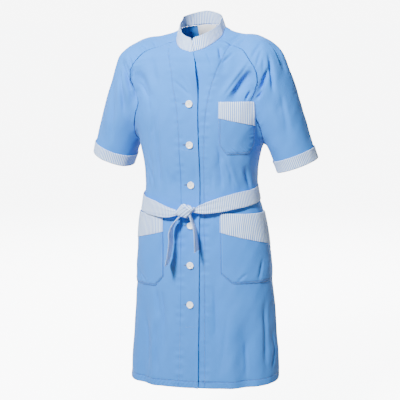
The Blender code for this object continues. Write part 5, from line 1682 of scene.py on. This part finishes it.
KNOT_CENTRE = np.array((-0.008, -0.1145, -0.4985))
KNOT_SIZE = np.array((0.0300, 0.0098, 0.0205))
KNOT_TILT = math.radians(18)
KNOT_ROWS, KNOT_COLUMNS = 64, 128
KNOT_POINTED, KNOT_FULL = 1.14, 0.7  # 1 is a diamond and 2 an oval; below 1 its face is the flatter
KNOT_STRIPES = np.array(((0.80, -0.60), (0.60, 0.80)))  # the turn of its map
# Pleats across the knot: a direction in degrees, a place along it, a half width and a height.
KNOT_PLEATS = (
    (-62, 0.30, 0.09, -0.0028),
    (-50, 0.60, 0.08, -0.0024),
    (40, 0.46, 0.09, -0.0024),
    (-58, -0.04, 0.10, -0.0020),
    (-66, -0.42, 0.09, -0.0022),
    (62, 0.80, 0.10, -0.0014),
)


def belt_knot():
    """The knot as a folded pillow, pleated where the band turns over."""
    v = np.linspace(0, math.pi, KNOT_ROWS)[:, None]
    u = np.linspace(0, 2 * math.pi, KNOT_COLUMNS + 1)[None, :]
    x, z = np.sin(v) * np.cos(u), np.sin(v) * np.sin(u)
    y = np.broadcast_to(-np.cos(v), x.shape)
    span = (np.abs(np.cos(u)) ** KNOT_POINTED + np.abs(np.sin(u)) ** KNOT_POINTED) ** (1 / KNOT_POINTED)
    x, z = x / span, z / span
    y = np.sign(y) * np.abs(y) ** KNOT_FULL
    lift = np.zeros(x.shape)
    for way, place, width, height in KNOT_PLEATS:
        a = math.radians(way)
        across = x * math.cos(a) + z * math.sin(a) - place
        lift += height * (1 - (across / width) ** 2) * hump(across, 0, width)
    points = np.stack((x, y, z), -1) * KNOT_SIZE
    points[..., 1] -= lift * np.sin(v) ** 0.5 * np.sign(y)
    uv = points[..., [0, 2]] @ KNOT_STRIPES
    points = points @ np.array(Matrix.Rotation(-KNOT_TILT, 3, "Y")).T
    sheet = (points + KNOT_CENTRE, points / KNOT_SIZE**2, uv)
    piece = mapped_mesh("belt_knot_cloth", *sheet, STRIPED_CLOTH, {SEWN: 1.0}, joined=True)
    shape = bmesh.new()
    shape.from_mesh(piece.data)
    bmesh.ops.remove_doubles(shape, verts=shape.verts, dist=1e-5)
    put_back(shape, piece.data)
    finished(piece, "striped_cloth", "belt_knot")


TAIL_LONG = rows(
    "height x y turn width",
    (-0.5160, -0.0240, -0.1160, 8, 0.016),
    (-0.535, -0.0390, -0.1190, 4, 0.028),
    (-0.552, -0.0450, -0.1230, 2, 0.036),
    (-0.585, -0.0445, -0.1260, 1, 0.041),
    (-0.620, -0.0490, -0.1270, 3, 0.042),
    (-0.650, -0.0570, -0.1255, 6, 0.042),
)
TAIL_SHORT = rows(
    "height x y turn width",
    (-0.5085, 0.0070, -0.1150, 8, 0.014),
    (-0.530, 0.0150, -0.1170, 6, 0.026),
    (-0.548, 0.0230, -0.1210, 6, 0.034),
    (-0.575, 0.0270, -0.1235, 4, 0.040),
    (-0.606, 0.0290, -0.1240, 1, 0.042),
)
TAIL_ROWS, TAIL_GATHER, TAIL_PLEAT, TAIL_CUP = 110, 0.045, 0.0010, 0.0016


def belt_tail(name, table, seed):
    """A free end of the belt, seen nearly edge-on."""
    heights = table["height"][::-1]
    down = np.linspace(heights[-1], heights[0], TAIL_ROWS + 1)
    flipped = {key: column[::-1] for key, column in table.items()}
    middle = np.stack((read(flipped, "x", down), read(flipped, "y", down), down), -1)
    turn = np.radians(read(flipped, "turn", down))
    wide = np.stack((np.sin(turn), -np.cos(turn), 0 * turn), -1)
    along = np.gradient(middle, axis=0)
    out = np.cross(wide, along)
    out /= np.linalg.norm(out, axis=-1, keepdims=True)
    near_knot = 1 - ease((heights[-1] - down) / TAIL_GATHER)

    def crease(share, run):
        cup = TAIL_CUP * (share**2 - 0.4) * np.sin(run / 0.03 + seed)
        return cup + TAIL_PLEAT * np.sin(share * 6.0) * near_knot

    flat_tube(name, middle, wide, out, read(flipped, "width", down), crease)


# ------------------------------------------------------------------ stage
FLOOR_HEIGHT, FLOOR_SIZE, FLOOR_GLOW = -1.30, 900.0, 7.8
PALE_FLOOR = (0.93, 0.94, 0.95, 1)
LIGHTS = rows(
    "x y z size power",
    (-0.40, -2.05, 1.40, 0.4, 240),
    (3.05, -2.56, -0.14, 2.2, 14),
    (-0.90, 2.90, 1.30, 2.0, 230),
)
ROOM_LIGHT, ROOM_SEEN = 0.22, 7.6


def stage():
    """A pale glowing floor, the lights, and a room that looks brighter than the light it gives."""
    mesh = bpy.data.meshes.new("pale_floor")
    half = FLOOR_SIZE / 2
    corners = [(-half, -half, FLOOR_HEIGHT), (half, -half, FLOOR_HEIGHT)]
    corners += [(half, half, FLOOR_HEIGHT), (-half, half, FLOOR_HEIGHT)]
    mesh.from_pydata(corners, [], [(0, 1, 2, 3)])
    glow = dict(Emission_Color=PALE_FLOOR, Emission_Strength=FLOOR_GLOW)
    mesh.materials.append(Finish("pale_floor", 0.9, Base_Color=PALE_FLOOR, **glow).material)
    floor = linked("pale_floor", mesh)
    floor.visible_diffuse = False  # so that its glow stays off the cloth
    for number, (x, y, z, size, power) in enumerate(zip(*LIGHTS.values())):
        data = bpy.data.lights.new(f"soft_light_{number + 1}", "AREA")
        data.size, data.energy = size, power
        lamp = linked(data.name, data)
        lamp.location = (x, y, z)
        lamp.rotation_euler = (Vector((x, y, z)) - AIM).to_track_quat("Z", "Y").to_euler()
    world = bpy.data.worlds.new("studio")
    world.use_nodes = True
    tree = world.node_tree
    room, seen = tree.nodes["Background"], tree.nodes.new("ShaderNodeBackground")
    for sky, power in ((room, ROOM_LIGHT), (seen, ROOM_SEEN)):
        sky.inputs["Color"].default_value = (1, 1, 1, 1)
        sky.inputs["Strength"].default_value = power
    path, mixed = tree.nodes.new("ShaderNodeLightPath"), tree.nodes.new("ShaderNodeMixShader")
    tree.links.new(path.outputs["Is Camera Ray"], mixed.inputs["Fac"])
    tree.links.new(room.outputs["Background"], mixed.inputs[1])
    tree.links.new(seen.outputs["Background"], mixed.inputs[2])
    tree.links.new(mixed.outputs["Shader"], tree.nodes["World Output"].inputs["Surface"])
    bpy.context.scene.world = world


# ------------------------------------------------------------------ the smock
camera()
BLUE_CLOTH, STRIPED_CLOTH = blue_cloth(), striped_cloth()
LABEL_CLOTH_FINISH, BUTTON_FINISH = label_cloth(), button_plastic()
BLUE_THREAD = thread("blue_thread", (0.22, 0.43, 0.74, 1), (0.16, 0.34, 0.62, 1))
WHITE_THREAD = thread("white_thread", (0.80, 0.84, 0.88, 1), (0.62, 0.70, 0.80, 1))
HOLE_THREAD = thread("buttonhole_thread", (0.03, 0.12, 0.36, 1), (0.02, 0.08, 0.26, 1))
# The slits' finish is painted shade: a near-black sheet standing for the shade inside each cut.
SLIT_SHADE_FINISH = thread("buttonhole_slit_shade", (0.02, 0.05, 0.14, 1), (0.01, 0.03, 0.09, 1))
STITCHING, SOCKETS = stitching_tree()

back()
for side, word in ((-1, "right"), (1, "left")):
    front(side, word)
    sleeve(side, word)
    cuff(side, word)
    drop = HIP_DROPS[side]
    patch_pocket(side, f"hip_pocket_{word}", HIP_POCKET, drop, 81 + side)
    pocket_band(side, f"hip_pocket_band_{word}", HIP_POCKET, HIP_BANDS[side], drop, 91 + side)
patch_pocket(1, "chest_pocket", CHEST_POCKET, seed=85)
pocket_band(1, "chest_pocket_band", CHEST_POCKET, CHEST_BAND, seed=95)
collar()
neck_label()
body, loops = turned_button(), strands()
for number in range(BUTTON_COUNT):
    button(number, body, loops)
buttonholes()
belt()
belt_knot()
belt_tail("belt_tail_long", TAIL_LONG, 1.0)
belt_tail("belt_tail_short", TAIL_SHORT, 3.0)
stage()
